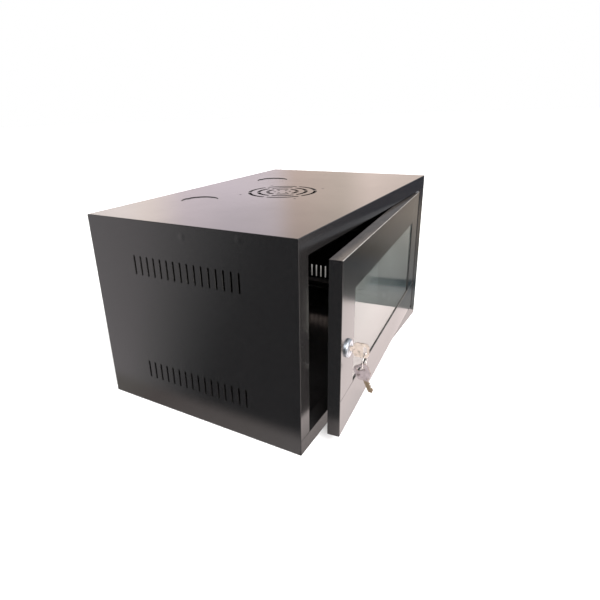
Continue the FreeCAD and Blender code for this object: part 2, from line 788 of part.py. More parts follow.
def door_leaf():
    """Top rail and both stiles in one folded tray, open at the bottom where the lower rail joins."""
    body = new_body("door_leaf")
    hang_on_door(body)
    pad(body, "y", "door_front", "sheet",
        polygon(("door_left", "window_low"), ("door_left", "door_high"), ("door_right", "door_high"),
                ("door_right", "window_low"), ("window_right", "window_low"),
                ("window_right", "window_high"), ("window_left", "window_high"),
                ("window_left", "window_low")))
    pad(body, "y", "door_front", "door_depth", leaf_band("sheet"))
    pad(body, "y", "door_back - sheet", "sheet", leaf_band("door_return"))
    pocket(body, "y", "door_front", "sheet", circle("lock_x", "lock_z", "barrel + 2 * barrel_gap"))
    pocket(body, "z", "door_high - sheet", "sheet", circle("0", "0", "hinge_pin + 2 * hinge_fit"))
    seam_high = "window_low + seam_width"
    pocket(body, "y", "door_front", "seam_depth",
           rectangle("door_left", "window_left", "window_low", seam_high),
           rectangle("window_right", "door_right", "window_low", seam_high))
    round_edges(body, "edge_round", {"x": "door_left", "y": "door_front"},
                {"x": "door_right", "y": "door_front"}, {"y": "door_front", "z": "door_high"})


def leaf_band(breadth):
    """A strip along the leaf's two stiles and top edge."""
    return polygon(("door_left", "window_low"), ("door_left", "door_high"), ("door_right", "door_high"),
                   ("door_right", "window_low"), (f"door_right - {breadth}", "window_low"),
                   (f"door_right - {breadth}", f"door_high - {breadth}"),
                   (f"door_left + {breadth}", f"door_high - {breadth}"),
                   (f"door_left + {breadth}", "window_low"))


def door_bottom_rail():
    """The lower rail over the full width of the door, folded like the leaf."""
    body = new_body("door_bottom_rail")
    hang_on_door(body)
    pad(body, "y", "door_front", "sheet",
        rectangle("door_left", "door_right", "door_low", "window_low"))
    for start, length, breadth in (("door_front", "door_depth", "sheet"),
                                   ("door_back - sheet", "sheet", "door_return")):
        pad(body, "y", start, length,
            polygon(("door_left", "window_low"), ("door_left", "door_low"), ("door_right", "door_low"),
                    ("door_right", "window_low"), (f"door_right - {breadth}", "window_low"),
                    (f"door_right - {breadth}", f"door_low + {breadth}"),
                    (f"door_left + {breadth}", f"door_low + {breadth}"),
                    (f"door_left + {breadth}", "window_low")))
    pocket(body, "z", "door_low", "sheet", circle("0", "0", "hinge_pin + 2 * hinge_fit"))
    round_edges(body, "edge_round", {"x": "door_left", "y": "door_front"},
                {"x": "door_right", "y": "door_front"}, {"y": "door_front", "z": "door_low"})


def glazing():
    """Glass behind the window, bedded on a frame of tape."""
    outline = rectangle("window_left - glass_lap", "window_right + glass_lap",
                        "window_low - glass_lap", "window_high + glass_lap")
    glass = new_body("door_glass")
    hang_on_door(glass)
    pad(glass, "y", "glass_front", "glass_thick", outline)
    tape = new_body("glass_tape")
    hang_on_door(tape)
    pad(tape, "y", "door_inner", "tape_thick", outline,
        rectangle("window_left - tape_inset", "window_right + tape_inset",
                  "window_low - tape_inset", "window_high + tape_inset"))


def glass_clips():
    """Folded clips over the glass's upper and lower edges, each on a stud with a nut."""
    clips = new_body("glass_clips")
    studs = new_body("clip_studs")
    nuts = new_body("clip_nuts")
    for body in (clips, studs, nuts):
        hang_on_door(body)
    first = "door_middle - (clip_count - 1) * clip_spacing / 2"
    sections = []
    for edge, way in (("window_high", 1), ("window_low", -1)):
        def up(text, edge=edge, way=way):
            return f"{edge} + {way} * ({text})"
        wall = "glass_lap + clip_gap"
        sections.append(polygon(
            ("door_inner", up(f"{wall} + clip_sheet + clip_foot")),
            ("door_inner", up(wall)),
            ("glass_back", up(wall)),
            ("glass_back", up("glass_lap - clip_reach")),
            ("glass_back + clip_sheet", up("glass_lap - clip_reach")),
            ("glass_back + clip_sheet", up(f"{wall} + clip_sheet")),
            ("door_inner + clip_sheet", up(f"{wall} + clip_sheet")),
            ("door_inner + clip_sheet", up(f"{wall} + clip_sheet + clip_foot"))))
    row = pad(clips, "x", f"{first} - clip_width / 2", "clip_width", *sections)
    repeat_row(clips, row, "X", "clip_count", "(clip_count - 1) * clip_spacing")
    heights = ("window_high + clip_stud_offset", "window_low - clip_stud_offset")
    hole = pocket(clips, "y", "door_inner", "clip_sheet",
                  *[circle(first, up, "clip_stud + 2 * clip_stud_gap") for up in heights])
    repeat_row(clips, hole, "X", "clip_count", "(clip_count - 1) * clip_spacing")
    stud = pad(studs, "y", "door_inner", "clip_stud_length",
               *[circle(first, up, "clip_stud") for up in heights])
    repeat_row(studs, stud, "X", "clip_count", "(clip_count - 1) * clip_spacing")
    nut = pad(nuts, "y", "door_inner + clip_sheet", "clip_nut_thick",
              *[hexagon(first, up, "clip_nut") for up in heights],
              *[circle(first, up, "clip_stud + 2 * clip_stud_gap") for up in heights])
    repeat_row(nuts, nut, "X", "clip_count", "(clip_count - 1) * clip_spacing")


def hinge():
    """Pins at the top and bottom of the door, in blocks of the door and bushes of the lips."""
    blocks = new_body("hinge_blocks")
    pins = new_body("hinge_pins")
    for body in (blocks, pins):
        hang_on_door(body)
    plan = rectangle("door_right - sheet - block_length", "door_right - sheet",
                     "door_inner", "door_inner + block_width")
    hole = circle("0", "0", "hinge_pin + 2 * hinge_fit")
    inside = "block_height + sheet"
    outside = "door_end_gap + sheet + hinge_pin_tail"
    collar = "door_end_gap - bush_flange_thick - hinge_collar_gap"
    pad(blocks, "z", "door_high - sheet - block_height", "block_height", plan, hole)
    pad(blocks, "z", "door_low + sheet", "block_height", plan, hole)
    pad(pins, "z", f"door_high - ({inside})", f"{inside} + {outside}", circle("0", "0", "hinge_pin"))
    pad(pins, "z", "door_high", collar, circle("0", "0", "hinge_collar"))
    pad(pins, "z", f"door_low - ({outside})", f"{inside} + {outside}", circle("0", "0", "hinge_pin"))
    pad(pins, "z", f"door_low - ({collar})", collar, circle("0", "0", "hinge_collar"))
    bushes = new_body("hinge_bushes")
    bore = circle("hinge_x", "hinge_y", "hinge_pin + 2 * hinge_fit")
    pad(bushes, "z", "opening_high - bush_flange_thick", "bush_flange_thick",
        circle("hinge_x", "hinge_y", "bush_flange"), bore)
    pad(bushes, "z", "opening_high", "2 * sheet", circle("hinge_x", "hinge_y", "bush_size"), bore)
    pad(bushes, "z", "opening_low", "bush_flange_thick",
        circle("hinge_x", "hinge_y", "bush_flange"), bore)
    pad(bushes, "z", "opening_low - 2 * sheet", "2 * sheet",
        circle("hinge_x", "hinge_y", "bush_size"), bore)


# Lock and keys

def lock():
    """A cam lock: rose and barrel, nut, and the turning plug with its cam and screw."""
    body = new_body("lock_body")
    nut = new_body("lock_nut")
    for fixed in (body, nut):
        hang_on_door(fixed)
    pad(body, "y", "rose_front", "rose_height", circle("lock_x", "lock_z", "rose_size"))
    round_rim(body, "rose_round", "rose_front", "rose_size")
    pad(body, "y", "door_front", "barrel_end - door_front", circle("lock_x", "lock_z", "barrel"))
    pocket(body, "y", "rose_front", "barrel_end - rose_front",
           circle("lock_x", "lock_z", "plug_size + 2 * plug_gap"))
    pad(nut, "y", "door_inner", "lock_nut_thick", hexagon("lock_x", "lock_z", "lock_nut"),
        circle("lock_x", "lock_z", "barrel + 2 * barrel_gap"))

    plug = new_body("lock_plug")
    cam = new_body("lock_cam")
    screw = new_body("cam_screw")
    for turning in (plug, cam, screw):
        hang_on_door(turning)
    pad(plug, "y", "plug_front", "cam_front - plug_front", circle("lock_x", "lock_z", "plug_size"))
    half = "plug_square / 2"
    pad(plug, "y", "cam_front", "cam_thick - plug_square_end_gap",
        rectangle(f"lock_x - {half}", f"lock_x + {half}", f"lock_z - {half}", f"lock_z + {half}"))
    slit = "(key_thick / 2 + key_gap)"
    depth = "(key_blade / 2 + key_gap)"
    pocket(plug, "y", "plug_front", "key_insert + key_gap",
           rectangle(f"lock_x - {slit}", f"lock_x + {slit}", f"lock_z - {depth}", f"lock_z + {depth}"))
    pocket(plug, "y", "cam_back - cam_screw_length", "cam_screw_length",
           circle("lock_x", "lock_z", "cam_screw + 2 * cam_screw_gap"))

    reach = "cam_length + cam_width / 2"
    pad(cam, "y", "cam_front", "cam_thick",
        slot("lock_x", f"lock_z + cam_width / 2 - ({reach}) / 2", "cam_width", reach))
    eye = "(plug_square / 2 + plug_square_gap)"
    pocket(cam, "y", "cam_front", "cam_thick",
           rectangle(f"lock_x - {eye}", f"lock_x + {eye}", f"lock_z - {eye}", f"lock_z + {eye}"))
    pad(screw, "y", "cam_back", "cam_screw_head_length", circle("lock_x", "lock_z", "cam_screw_head"))
    shank = "cam_screw_length - cam_screw_end_gap"
    pad(screw, "y", f"cam_back - ({shank})", shank, circle("lock_x", "lock_z", "cam_screw"))


def round_rim(body, radius, along, diameter):
    """Rounds the circular edge of a given size at a place along Y."""
    shape = body.Shape.copy()
    shape.Placement = body.Placement.inverse().multiply(shape.Placement)
    names = []
    for index, edge in enumerate(shape.Edges, start=1):
        round_edge = isinstance(edge.Curve, Part.Circle)
        if round_edge and abs(edge.Curve.Radius - value(diameter) / 2) < 1e-4:
            if abs(edge.Curve.Center.y - value(along)) < 1e-4:
                names.append(f"Edge{index}")
    base = body.Tip
    fillet = body.newObject("PartDesign::Fillet", body.Label + "_rim")
    fillet.Base = (base, names)
    fillet.setExpression("Radius", bound(radius))
    body.Tip = fillet
    doc.recompute()


def lock_key():
    """A flat key, its own origin on the plug's face: blade along Y, bow on the other side, slot in it."""
    body = new_body("lock_key")
    start = "-key_thick / 2"
    far = "-(key_neck + key_bow_length)"
    pad(body, "x", start, "key_thick", rectangle(far, "-key_neck", "-key_bow / 2", "key_bow / 2"))
    round_edges(body, "key_bow_round", {"y": far, "z": "key_bow / 2"}, {"y": far, "z": "-key_bow / 2"},
                {"y": "-key_neck", "z": "key_bow / 2"}, {"y": "-key_neck", "z": "-key_bow / 2"})
    pad(body, "x", start, "key_thick",
        polygon(("-key_neck", "-key_blade / 2"), ("key_insert - key_blade / 2", "-key_blade / 2"),
                ("key_insert", "0"), ("key_insert - key_blade / 2", "key_blade / 2"),
                ("-key_neck", "key_blade / 2")))
    pocket(body, "x", start, "key_thick", slot("-key_slot_out", "0", "key_slot", "key_slot_length"))
    edge = "-key_blade / 2"
    notch = pocket(body, "x", start, "key_thick",
                   polygon(("0", edge), ("key_notch", f"{edge} + key_notch"), ("2 * key_notch", edge)))
    repeat_row(body, notch, "Y", "key_notch_count", "(key_notch_count - 1) * key_notch_pitch")
    groove = rectangle("-key_neck", "key_insert", "key_groove_rise - key_groove / 2",
                       "key_groove_rise + key_groove / 2")
    near = "-(key_neck + key_panel_gap)"
    panel = rectangle(f"{near} - key_panel_length", near, "-key_panel_height / 2", "key_panel_height / 2")
    for depth, outline in (("key_groove_depth", groove), ("key_panel_depth", panel)):
        pocket(body, "x", start, depth, outline)
        pocket(body, "x", f"-({start}) - {depth}", depth, outline)
    hang_on_door(body, "lock_x", "plug_front", "lock_z")
    return body


def key_ring():
    """A ring of square wire through the slots of both keys, parallel to the door."""
    ring = new_body("key_ring")
    hang_on_door(ring)
    centre = ("lock_x", "lock_z - key_wire_drop - (ring_size - ring_wire) / 2")
    pad(ring, "y", "plug_front - key_slot_out - ring_wire / 2", "ring_wire",
        circle(*centre, "ring_size"), circle(*centre, "ring_size - 2 * ring_wire"))


def spare_key(pattern):
    """A second key like the first, hanging tilted by one end of its slot."""
    spare = doc.addObject("Part::Feature", "spare_key")
    spare.Label = "spare_key"
    shape = pattern.Shape.copy()
    shape.Placement = FreeCAD.Placement()
    spare.Shape = shape
    turn = FreeCAD.Rotation(FreeCAD.Vector(1, 0, 0), 180 + 90 - value("spare_tilt"))
    held = turn.multVec(FreeCAD.Vector(0, -value("key_slot_out"), -value("key_wire_drop")))
    wire = value("lock_z - key_wire_drop - (ring_size - ring_wire)")
    spare.Placement = door_placement("lock_x", f"plug_front - key_slot_out - ({held.y})",
                                     f"{wire} - ({held.z})", "180 + 90 - spare_tilt")
    parts.append(spare)


# Stops and earth stud

def closing_stops():
    """Tabs on the lip's edge with rubber buffers that the closed door rests on."""
    tabs = new_body("stop_tabs")
    buffers = new_body("stop_buffers")
    left = "-(opening_half + sheet)"
    for middle in ("opening_low + stop_inset", "opening_high - stop_inset"):
        pad(tabs, "y", "lip_end", "sheet",
            rectangle(left, f"{left} + stop_width",
                      f"{middle} - stop_height / 2", f"{middle} + stop_height / 2"))
        pad(buffers, "y", "buffer_front", "lip_end - buffer_front",
            circle(f"{left} + stop_width - buffer_inset - buffer_size / 2", middle, "buffer_size"))


def earth_point():
    """A welded stud with a nut on the rear panel, low down inside."""
    stud = new_body("earth_stud")
    nut = new_body("earth_nut")
    place = ("-inner_half + earth_stud_inset", "earth_stud_inset")
    seat = "rear - sheet"
    pad(stud, "y", f"{seat} - earth_stud_length", "earth_stud_length", circle(*place, "earth_stud"))
    pad(nut, "y", f"{seat} - earth_nut_thick", "earth_nut_thick", hexagon(*place, "earth_nut"),
        circle(*place, "earth_stud + 2 * earth_nut_gap"))


def build():
    for name, side in SIDES.items():
        side_panel(name + "_side_panel", side)
        rail(name + "_rail", side)
        for level, middle in BAR_HEIGHTS.items():
            depth_bar(f"{name}_{level}_bar", side, middle)
    top_panel()
    bottom_panel()
    rear_panel()
    rail_fasteners()
    fan_frame()
    fan_rotor()
    fan_screws()
    door_leaf()
    door_bottom_rail()
    glazing()
    glass_clips()
    hinge()
    lock()
    key = lock_key()
    doc.recompute()
    key_ring()
    spare_key(key)
    closing_stops()
    earth_point()
    doc.recompute()


def write_parts():
    for item in doc.Objects:
        if "Invalid" in item.State or "Error" in item.State:
            raise RuntimeError(item.Name + " failed")
    for item in parts:
        if item.Shape.isNull() or not item.Shape.isValid():
            raise RuntimeError(item.Label + " has no valid shape")
    os.makedirs("parts", exist_ok=True)
    for item in parts:
        item.Shape.exportStep(f"parts/{item.Label}.step")


build()
write_parts()
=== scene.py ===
import json
import math
from collections import namedtuple
import bmesh
import bpy
from mathutils import Matrix, Vector


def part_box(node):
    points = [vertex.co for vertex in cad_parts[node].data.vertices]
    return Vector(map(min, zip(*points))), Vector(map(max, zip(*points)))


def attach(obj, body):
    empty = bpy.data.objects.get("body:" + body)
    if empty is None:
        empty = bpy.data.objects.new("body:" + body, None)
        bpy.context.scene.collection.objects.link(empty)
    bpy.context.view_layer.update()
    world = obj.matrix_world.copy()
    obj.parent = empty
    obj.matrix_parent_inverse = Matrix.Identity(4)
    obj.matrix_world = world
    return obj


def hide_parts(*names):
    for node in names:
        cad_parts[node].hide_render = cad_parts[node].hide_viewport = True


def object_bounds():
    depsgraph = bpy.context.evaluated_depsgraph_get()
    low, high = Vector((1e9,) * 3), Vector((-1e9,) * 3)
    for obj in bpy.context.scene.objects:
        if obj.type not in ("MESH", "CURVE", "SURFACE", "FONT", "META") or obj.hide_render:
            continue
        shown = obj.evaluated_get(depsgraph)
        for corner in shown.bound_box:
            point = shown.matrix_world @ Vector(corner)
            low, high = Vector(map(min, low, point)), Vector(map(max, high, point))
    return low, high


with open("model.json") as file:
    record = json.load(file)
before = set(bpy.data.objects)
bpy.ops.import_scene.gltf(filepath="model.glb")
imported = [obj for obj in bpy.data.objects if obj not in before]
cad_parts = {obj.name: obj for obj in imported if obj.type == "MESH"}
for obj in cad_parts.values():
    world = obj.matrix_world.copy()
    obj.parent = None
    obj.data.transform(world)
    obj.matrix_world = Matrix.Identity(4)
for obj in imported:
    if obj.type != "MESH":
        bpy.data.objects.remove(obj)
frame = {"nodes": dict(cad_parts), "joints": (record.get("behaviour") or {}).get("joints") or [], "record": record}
cad_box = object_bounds()
nodes = frame["nodes"]
record = frame["record"]
joints = {joint["name"]: joint for joint in frame["joints"]}
body_of = {node: body for body, members in record["behaviour"]["bodies"].items() for node in members}
slot_of = {part["node"]: part["material_slot"] for part in record["subparts"]}
MM = 0.001

# Directions of the cabinet and of its door, which stands ajar
X, Y, Z = Vector((1, 0, 0)), Vector((0, 1, 0)), Vector((0, 0, 1))
DOOR_X = Vector(joints["ring_swing"]["axis"])
DOOR_Y = Vector(joints["lock_turn"]["axis"])

# The sides on which the door has its lock and its hinges
LOCK_SIDE = cad_box[0][0]
HINGE_SIDE = cad_box[1][0]

# The photograph's viewpoint
IMAGE_SIDE = 600
FOCAL_PIXELS = 477.4
OPTICAL_CENTRE = (275.9, 296.1)
CAMERA_PLACE = Vector((-0.7254, -0.4198, 0.4379))
CAMERA_AZIMUTH = math.radians(-58.75)
CAMERA_ELEVATION = math.radians(21.67)
CAMERA_ROLL = math.radians(-1.92)
CAMERA_NEAR = 0.01
SENSOR = 36


def make_camera():
    """A camera at the photograph's viewpoint, shifted to its optical centre."""
    data = bpy.data.cameras.new("camera")
    data.sensor_width = SENSOR
    data.lens = SENSOR * FOCAL_PIXELS / IMAGE_SIDE
    data.shift_x = 0.5 - OPTICAL_CENTRE[0] / IMAGE_SIDE
    data.shift_y = OPTICAL_CENTRE[1] / IMAGE_SIDE - 0.5
    data.clip_start = CAMERA_NEAR
    camera = bpy.data.objects.new("camera", data)
    level = math.cos(CAMERA_ELEVATION)
    forward = Vector((-math.sin(CAMERA_AZIMUTH) * level, math.cos(CAMERA_AZIMUTH) * level,
                      -math.sin(CAMERA_ELEVATION)))
    flat_right = forward.cross(Z).normalized()
    flat_up = flat_right.cross(forward)
    right = math.cos(CAMERA_ROLL) * flat_right + math.sin(CAMERA_ROLL) * flat_up
    up = right.cross(forward)
    turn = Matrix((right, up, -forward)).transposed()
    camera.matrix_world = Matrix.Translation(CAMERA_PLACE) @ turn.to_4x4()
    bpy.context.scene.collection.objects.link(camera)
    bpy.context.scene.camera = camera


# Node helpers

# How far a face has to look up, or to the front, before that counts, and before it counts in full
LEANING = 0.7
SQUARE = 0.98


class Shader:
    """A material under construction: nodes are added by kind and linked by socket name."""

    def __init__(self, name, surface="BsdfPrincipled"):
        self.material = bpy.data.materials.new(name)
        self.material.use_nodes = True
        self.tree = self.material.node_tree
        self.tree.nodes.clear()
        self.surface = self.add(surface)
        self.add("OutputMaterial", Surface=self.surface.outputs[0])
        self.place = self.add("TexCoord").outputs["Object"]

    def feed(self, socket, given):
        """Links an input to an output, or sets its value."""
        if isinstance(given, bpy.types.NodeSocket):
            self.tree.links.new(given, socket)
        else:
            socket.default_value = given

    def put(self, node, **inputs):
        """Sets or links a node's inputs, named with underscores for spaces."""
        for name, given in inputs.items():
            self.feed(node.inputs[name.replace("_", " ")], given)
        return node

    def add(self, kind, settings=None, **inputs):
        node = self.tree.nodes.new("ShaderNode" + kind)
        for name, given in (settings or {}).items():
            setattr(node, name, given)
        return self.put(node, **inputs)

    def complete(self, **inputs):
        """Sets or links the surface's inputs and gives the material."""
        self.put(self.surface, **inputs)
        return self.material

    def stretched(self, scale):
        return self.add("Mapping", Vector=self.place, Scale=scale).outputs["Vector"]

    def noise(self, scale, detail=4, roughness=0.55, place=None):
        node = self.add("TexNoise", Vector=place or self.place, Scale=scale, Detail=detail,
                        Roughness=roughness)
        return node.outputs["Fac"]

    def spread(self, fac, low, high, start=0.3, end=0.7, smooth=False):
        """A factor between `start` and `end` spread evenly or smoothly over `low` to `high`."""
        settings = {"interpolation_type": "SMOOTHSTEP" if smooth else "LINEAR"}
        node = self.add("MapRange", settings, Value=fac, From_Min=start, From_Max=end, To_Min=low,
                        To_Max=high)
        return node.outputs["Result"]

    def combine(self, operation, one, two, kind="Math"):
        """A number worked out from two numbers, or from two vectors with the kind VectorMath."""
        node = self.add(kind, {"operation": operation})
        self.feed(node.inputs[0], one)
        self.feed(node.inputs[1], two)
        return node.outputs["Value"]

    def product(self, first, *others):
        for other in others:
            first = self.combine("MULTIPLY", first, other)
        return first

    def mix(self, fac, one, two):
        return self.add("MixRGB", Fac=fac, Color1=one, Color2=two).outputs["Color"]

    def ramp(self, fac, *stops):
        """Colours along a factor, each stop a place and an RGB colour."""
        node = self.add("ValToRGB", Fac=fac)
        elements = node.color_ramp.elements
        while len(elements) < len(stops):
            elements.new(1)
        for element, (place, colour) in zip(elements, stops):
            element.position = place
            element.color = (*colour, 1)
        return node.outputs["Color"]

    def compass(self, stops, middle=(0, 0)):
        """Colours round a point of the floor, each stop an angle in degrees from X and an RGB colour."""
        along = self.combine("SUBTRACT", self.axis("X"), middle[0])
        across = self.combine("SUBTRACT", self.axis("Y"), middle[1])
        heading = self.spread(self.combine("ARCTAN2", across, along), 0, 1, -math.pi, math.pi)
        return self.ramp(heading, *((degrees / 360 + 0.5, colour) for degrees, colour in stops))

    def bump(self, height, depth, strength, normal=None):
        inputs = {"Height": height, "Distance": depth, "Strength": strength}
        if normal is not None:
            inputs["Normal"] = normal
        return self.add("Bump", **inputs).outputs["Normal"]

    def axis(self, name, vector=None):
        """One coordinate of a vector, or of the place on the object."""
        return self.add("SeparateXYZ", Vector=vector or self.place).outputs[name]

    def near(self, point, reach):
        """A smooth spot: 1 at a point of the object, 0 beyond `reach` from it."""
        gap = self.combine("DISTANCE", self.place, point, kind="VectorMath")
        return self.spread(gap, 1, 0, 0, reach, smooth=True)

    def band(self, fac, low, high, soft):
        """1 where a factor lies between two values, fading to 0 over `soft` beyond them."""
        rise = self.spread(fac, 0, 1, low - soft, low)
        fall = self.spread(fac, 1, 0, high, high + soft)
        return self.product(rise, fall)

    def facing(self, direction):
        """How far a face looks along a direction that moves with the piece, -1 to 1."""
        normal = self.add("TexCoord").outputs["Normal"]
        return self.combine("DOT_PRODUCT", normal, direction, kind="VectorMath")

    def slope(self, name):
        """How far a face looks along an axis of the room, -1 to 1."""
        return self.axis(name, self.add("NewGeometry").outputs["Normal"])

    def upward(self):
        """1 on faces that look up, 0 on those that lean away."""
        return self.spread(self.slope("Z"), 0, 1, LEANING, SQUARE)

    def frontal(self):
        """1 on faces that look to the front, 0 on those that lean away."""
        return self.spread(self.slope("Y"), 1, 0, -SQUARE, -LEANING)


# Black paint of the sheet steel

BLACK_COAT = ((0.35, (0.0055, 0.0055, 0.006)), (0.62, (0.0075, 0.0072, 0.0075)),
              (0.82, (0.016, 0.0155, 0.015)))
COAT_ROUGHNESS = (0.13, 0.21)
COAT_IOR = 1.5
ORANGE_PEEL = 0.06 * MM
FILM_ROUGHNESS = 0.4
# Colour of the dust, also used for the painted light on what faces the front
DUST_AND_LIGHT = (0.33, 0.29, 0.27, 1)
# Bare steel, painted on as highlights along the door's upper fold and along a cut edge
BARE_STEEL_HIGHLIGHT = (0.5, 0.47, 0.44, 1)
FOLD_HEIGHT = 4 * MM
# Share of the painted fold highlight left at the hinge side
FOLD_HIGHLIGHT_AT_HINGES = 0.7
WELD_MARKS = ((-3 * MM, 284 * MM), (-93 * MM, 290 * MM))
WELD_MARK_REACH = 7 * MM
WELD_MARK_DEPTH = 0.6 * MM
BUMP_STRENGTH = 0.35


def dust_and_painted_light(shader, dust, painted_front_light):
    """The share of dust on what faces up, and of painted light on what faces the front, most towards the lock
    side.
    """
    patches = shader.spread(shader.noise(scale=60, detail=5), low=0.7 * dust, high=1.3 * dust)
    film_and_painted_light = shader.product(shader.upward(), patches)
    if painted_front_light:
        # Painted light: front faces paler towards the lock side, none at the hinge side
        front_light_fade = shader.spread(shader.axis("X"), painted_front_light, 0, LOCK_SIDE, HINGE_SIDE)
        film_and_painted_light = shader.combine("ADD", film_and_painted_light, shader.product(shader.frontal(), front_light_fade))
    return film_and_painted_light


def fold_highlight(shader, lowest):
    """A painted highlight on folds above a height, drawn as coat rubbed to bare steel, in patches that fade
    towards the hinges.
    """
    fold = shader.band(shader.slope("Z"), low=0.3, high=0.9, soft=0.1)
    high = shader.spread(shader.axis("Z"), 0, 1, lowest, lowest + MM)
    patches = shader.spread(shader.noise(scale=90), low=0.25, high=0.72)
    fading = shader.spread(shader.axis("X"), 1, FOLD_HIGHLIGHT_AT_HINGES, LOCK_SIDE, HINGE_SIDE)
    return shader.product(fold, high, shader.product(patches, fading))


def cut_edge_highlight(shader, height):
    """How far steel shows through the thin paint of a cut edge at a height, which also paints a highlight along
    it.
    """
    level = shader.band(shader.axis("Z"), height - MM, height + MM, soft=MM)
    thin_paint_highlight = shader.spread(shader.noise(scale=120), low=0.12, high=0.26)
    return shader.product(level, shader.upward(), thin_paint_highlight)


def black_paint(name, dust=0.02, painted_front_light=0.0, dull=0.0, shine=0.5, fold_highlight_from=None, cut_highlight_at=None, dents=()):
    """Satin black powder coat: orange peel, cloudy gloss and dust on what faces up.

    `painted_front_light` is painted light on what faces the front, `dull` roughens it all over, `shine` is the
    specular level, folds above the height `fold_highlight_from` get a painted highlight of bare steel, a cut edge
    at the height `cut_highlight_at` shows some steel and gets a painted highlight, and `dents` are the places of
    shallow marks."""
    shader = Shader(name)
    film_and_painted_light = dust_and_painted_light(shader, dust, painted_front_light)
    specks = shader.noise(scale=260, detail=6, roughness=0.7)
    colour = shader.mix(film_and_painted_light, shader.ramp(specks, *BLACK_COAT), DUST_AND_LIGHT)
    if fold_highlight_from is not None:
        # Painted highlight along the upper fold
        colour = shader.mix(fold_highlight(shader, fold_highlight_from), colour, BARE_STEEL_HIGHLIGHT)
    if cut_highlight_at is not None:
        # Steel through thin paint on the cut edge, also a painted highlight along it
        colour = shader.mix(cut_edge_highlight(shader, cut_highlight_at), colour, BARE_STEEL_HIGHLIGHT)
    smoothest, roughest = COAT_ROUGHNESS
    cloudy = shader.spread(shader.noise(scale=5, detail=5), smoothest + dull, roughest + dull)
    roughness = shader.combine("ADD", cloudy, shader.product(film_and_painted_light, FILM_ROUGHNESS))
    normal = shader.bump(shader.noise(scale=900, detail=2), ORANGE_PEEL, BUMP_STRENGTH)
    for dent in dents:
        normal = shader.bump(shader.near(dent, WELD_MARK_REACH), WELD_MARK_DEPTH, BUMP_STRENGTH, normal)
    return shader.complete(Base_Color=colour, Roughness=roughness, IOR=COAT_IOR,
                           Specular_IOR_Level=shine, Normal=normal)


def shell_paint(name):
    """The cabinet's paint, with two weld marks high on its left side, and painted light on its front faces."""
    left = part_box("left_side_panel")[0].x
    return black_paint(name, painted_front_light=0.03, dents=[(left, *mark) for mark in WELD_MARKS])


def door_paint(name):
    """The door's paint, dusty on top, with a painted highlight of bare steel along its upper fold, and steel
    through thin paint on the cut edge of its seam that also paints a highlight there.
    """
    return black_paint(name, dust=0.17, fold_highlight_from=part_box("door_leaf")[1].z - FOLD_HEIGHT,
                       cut_highlight_at=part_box("door_bottom_rail")[1].z)


def rail_paint(name):
    return black_paint(name, dull=0.3)


def inner_paint(name):
    return black_paint(name, dull=0.5, shine=0.2)


# Finishes of the other pieces

GLASS_TINT = (0.33, 0.36, 0.34, 1)
GLASS_IOR = 1.37
GLASS_ROUGHNESS = 0.01
# Share of film at the bottom and the top of the glass: haze and a painted veil of light
GLASS_FILM_AND_VEIL = (0.03, 0.235)
CHROME = (0.43, 0.46, 0.5, 1)
BRIGHT_STEEL = (0.8, 0.79, 0.77, 1)
SPARE_PLATING = ((0.32, (0.2, 0.16, 0.155)), (0.44, (0.4, 0.335, 0.345)), (0.7, (0.52, 0.44, 0.455)))
USED_PLATING = ((0.3, (0.4, 0.32, 0.26)), (0.42, (0.72, 0.6, 0.525)), (0.7, (0.84, 0.71, 0.625)))
WORN_BRASS = (0.22, 0.165, 0.11, 1)
WORN_BLADE = 15 * MM
WEAR_FADE = 4 * MM
# Painted shade on the keys' edges: its colour, and how much of it
KEY_EDGE_SHADE = (0.2, 0.14, 0.1, 1)
EDGE_SHADE_SHARE = 0.75


def clear_glass(name):
    """Clear glass under a thin patchy film, partly haze on the glass and partly a painted veil of light, denser
    towards the top.
    """
    shader = Shader(name)
    low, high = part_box("door_glass")
    # Film denser towards the top, where the painted veil of light is strongest
    film_and_painted_light = shader.spread(shader.axis("Z"), *GLASS_FILM_AND_VEIL, low.z, high.z)
    patches = shader.spread(shader.noise(scale=14, detail=3), low=0.8, high=1.2)
    clear = shader.combine("SUBTRACT", 1, shader.product(film_and_painted_light, patches))
    return shader.complete(Base_Color=GLASS_TINT, IOR=GLASS_IOR, Roughness=GLASS_ROUGHNESS,
                           Transmission_Weight=clear)


def chrome(name):
    """Chrome plating with fine lines of wear."""
    shader = Shader(name)
    lines = shader.noise(scale=1500, detail=3, roughness=0.6, place=shader.stretched((1, 1, 12)))
    roughness = shader.spread(lines, low=0.32, high=0.46)
    normal = shader.bump(lines, depth=0.02 * MM, strength=0.3)
    return shader.complete(Base_Color=CHROME, Metallic=0.92, Roughness=roughness, Normal=normal)


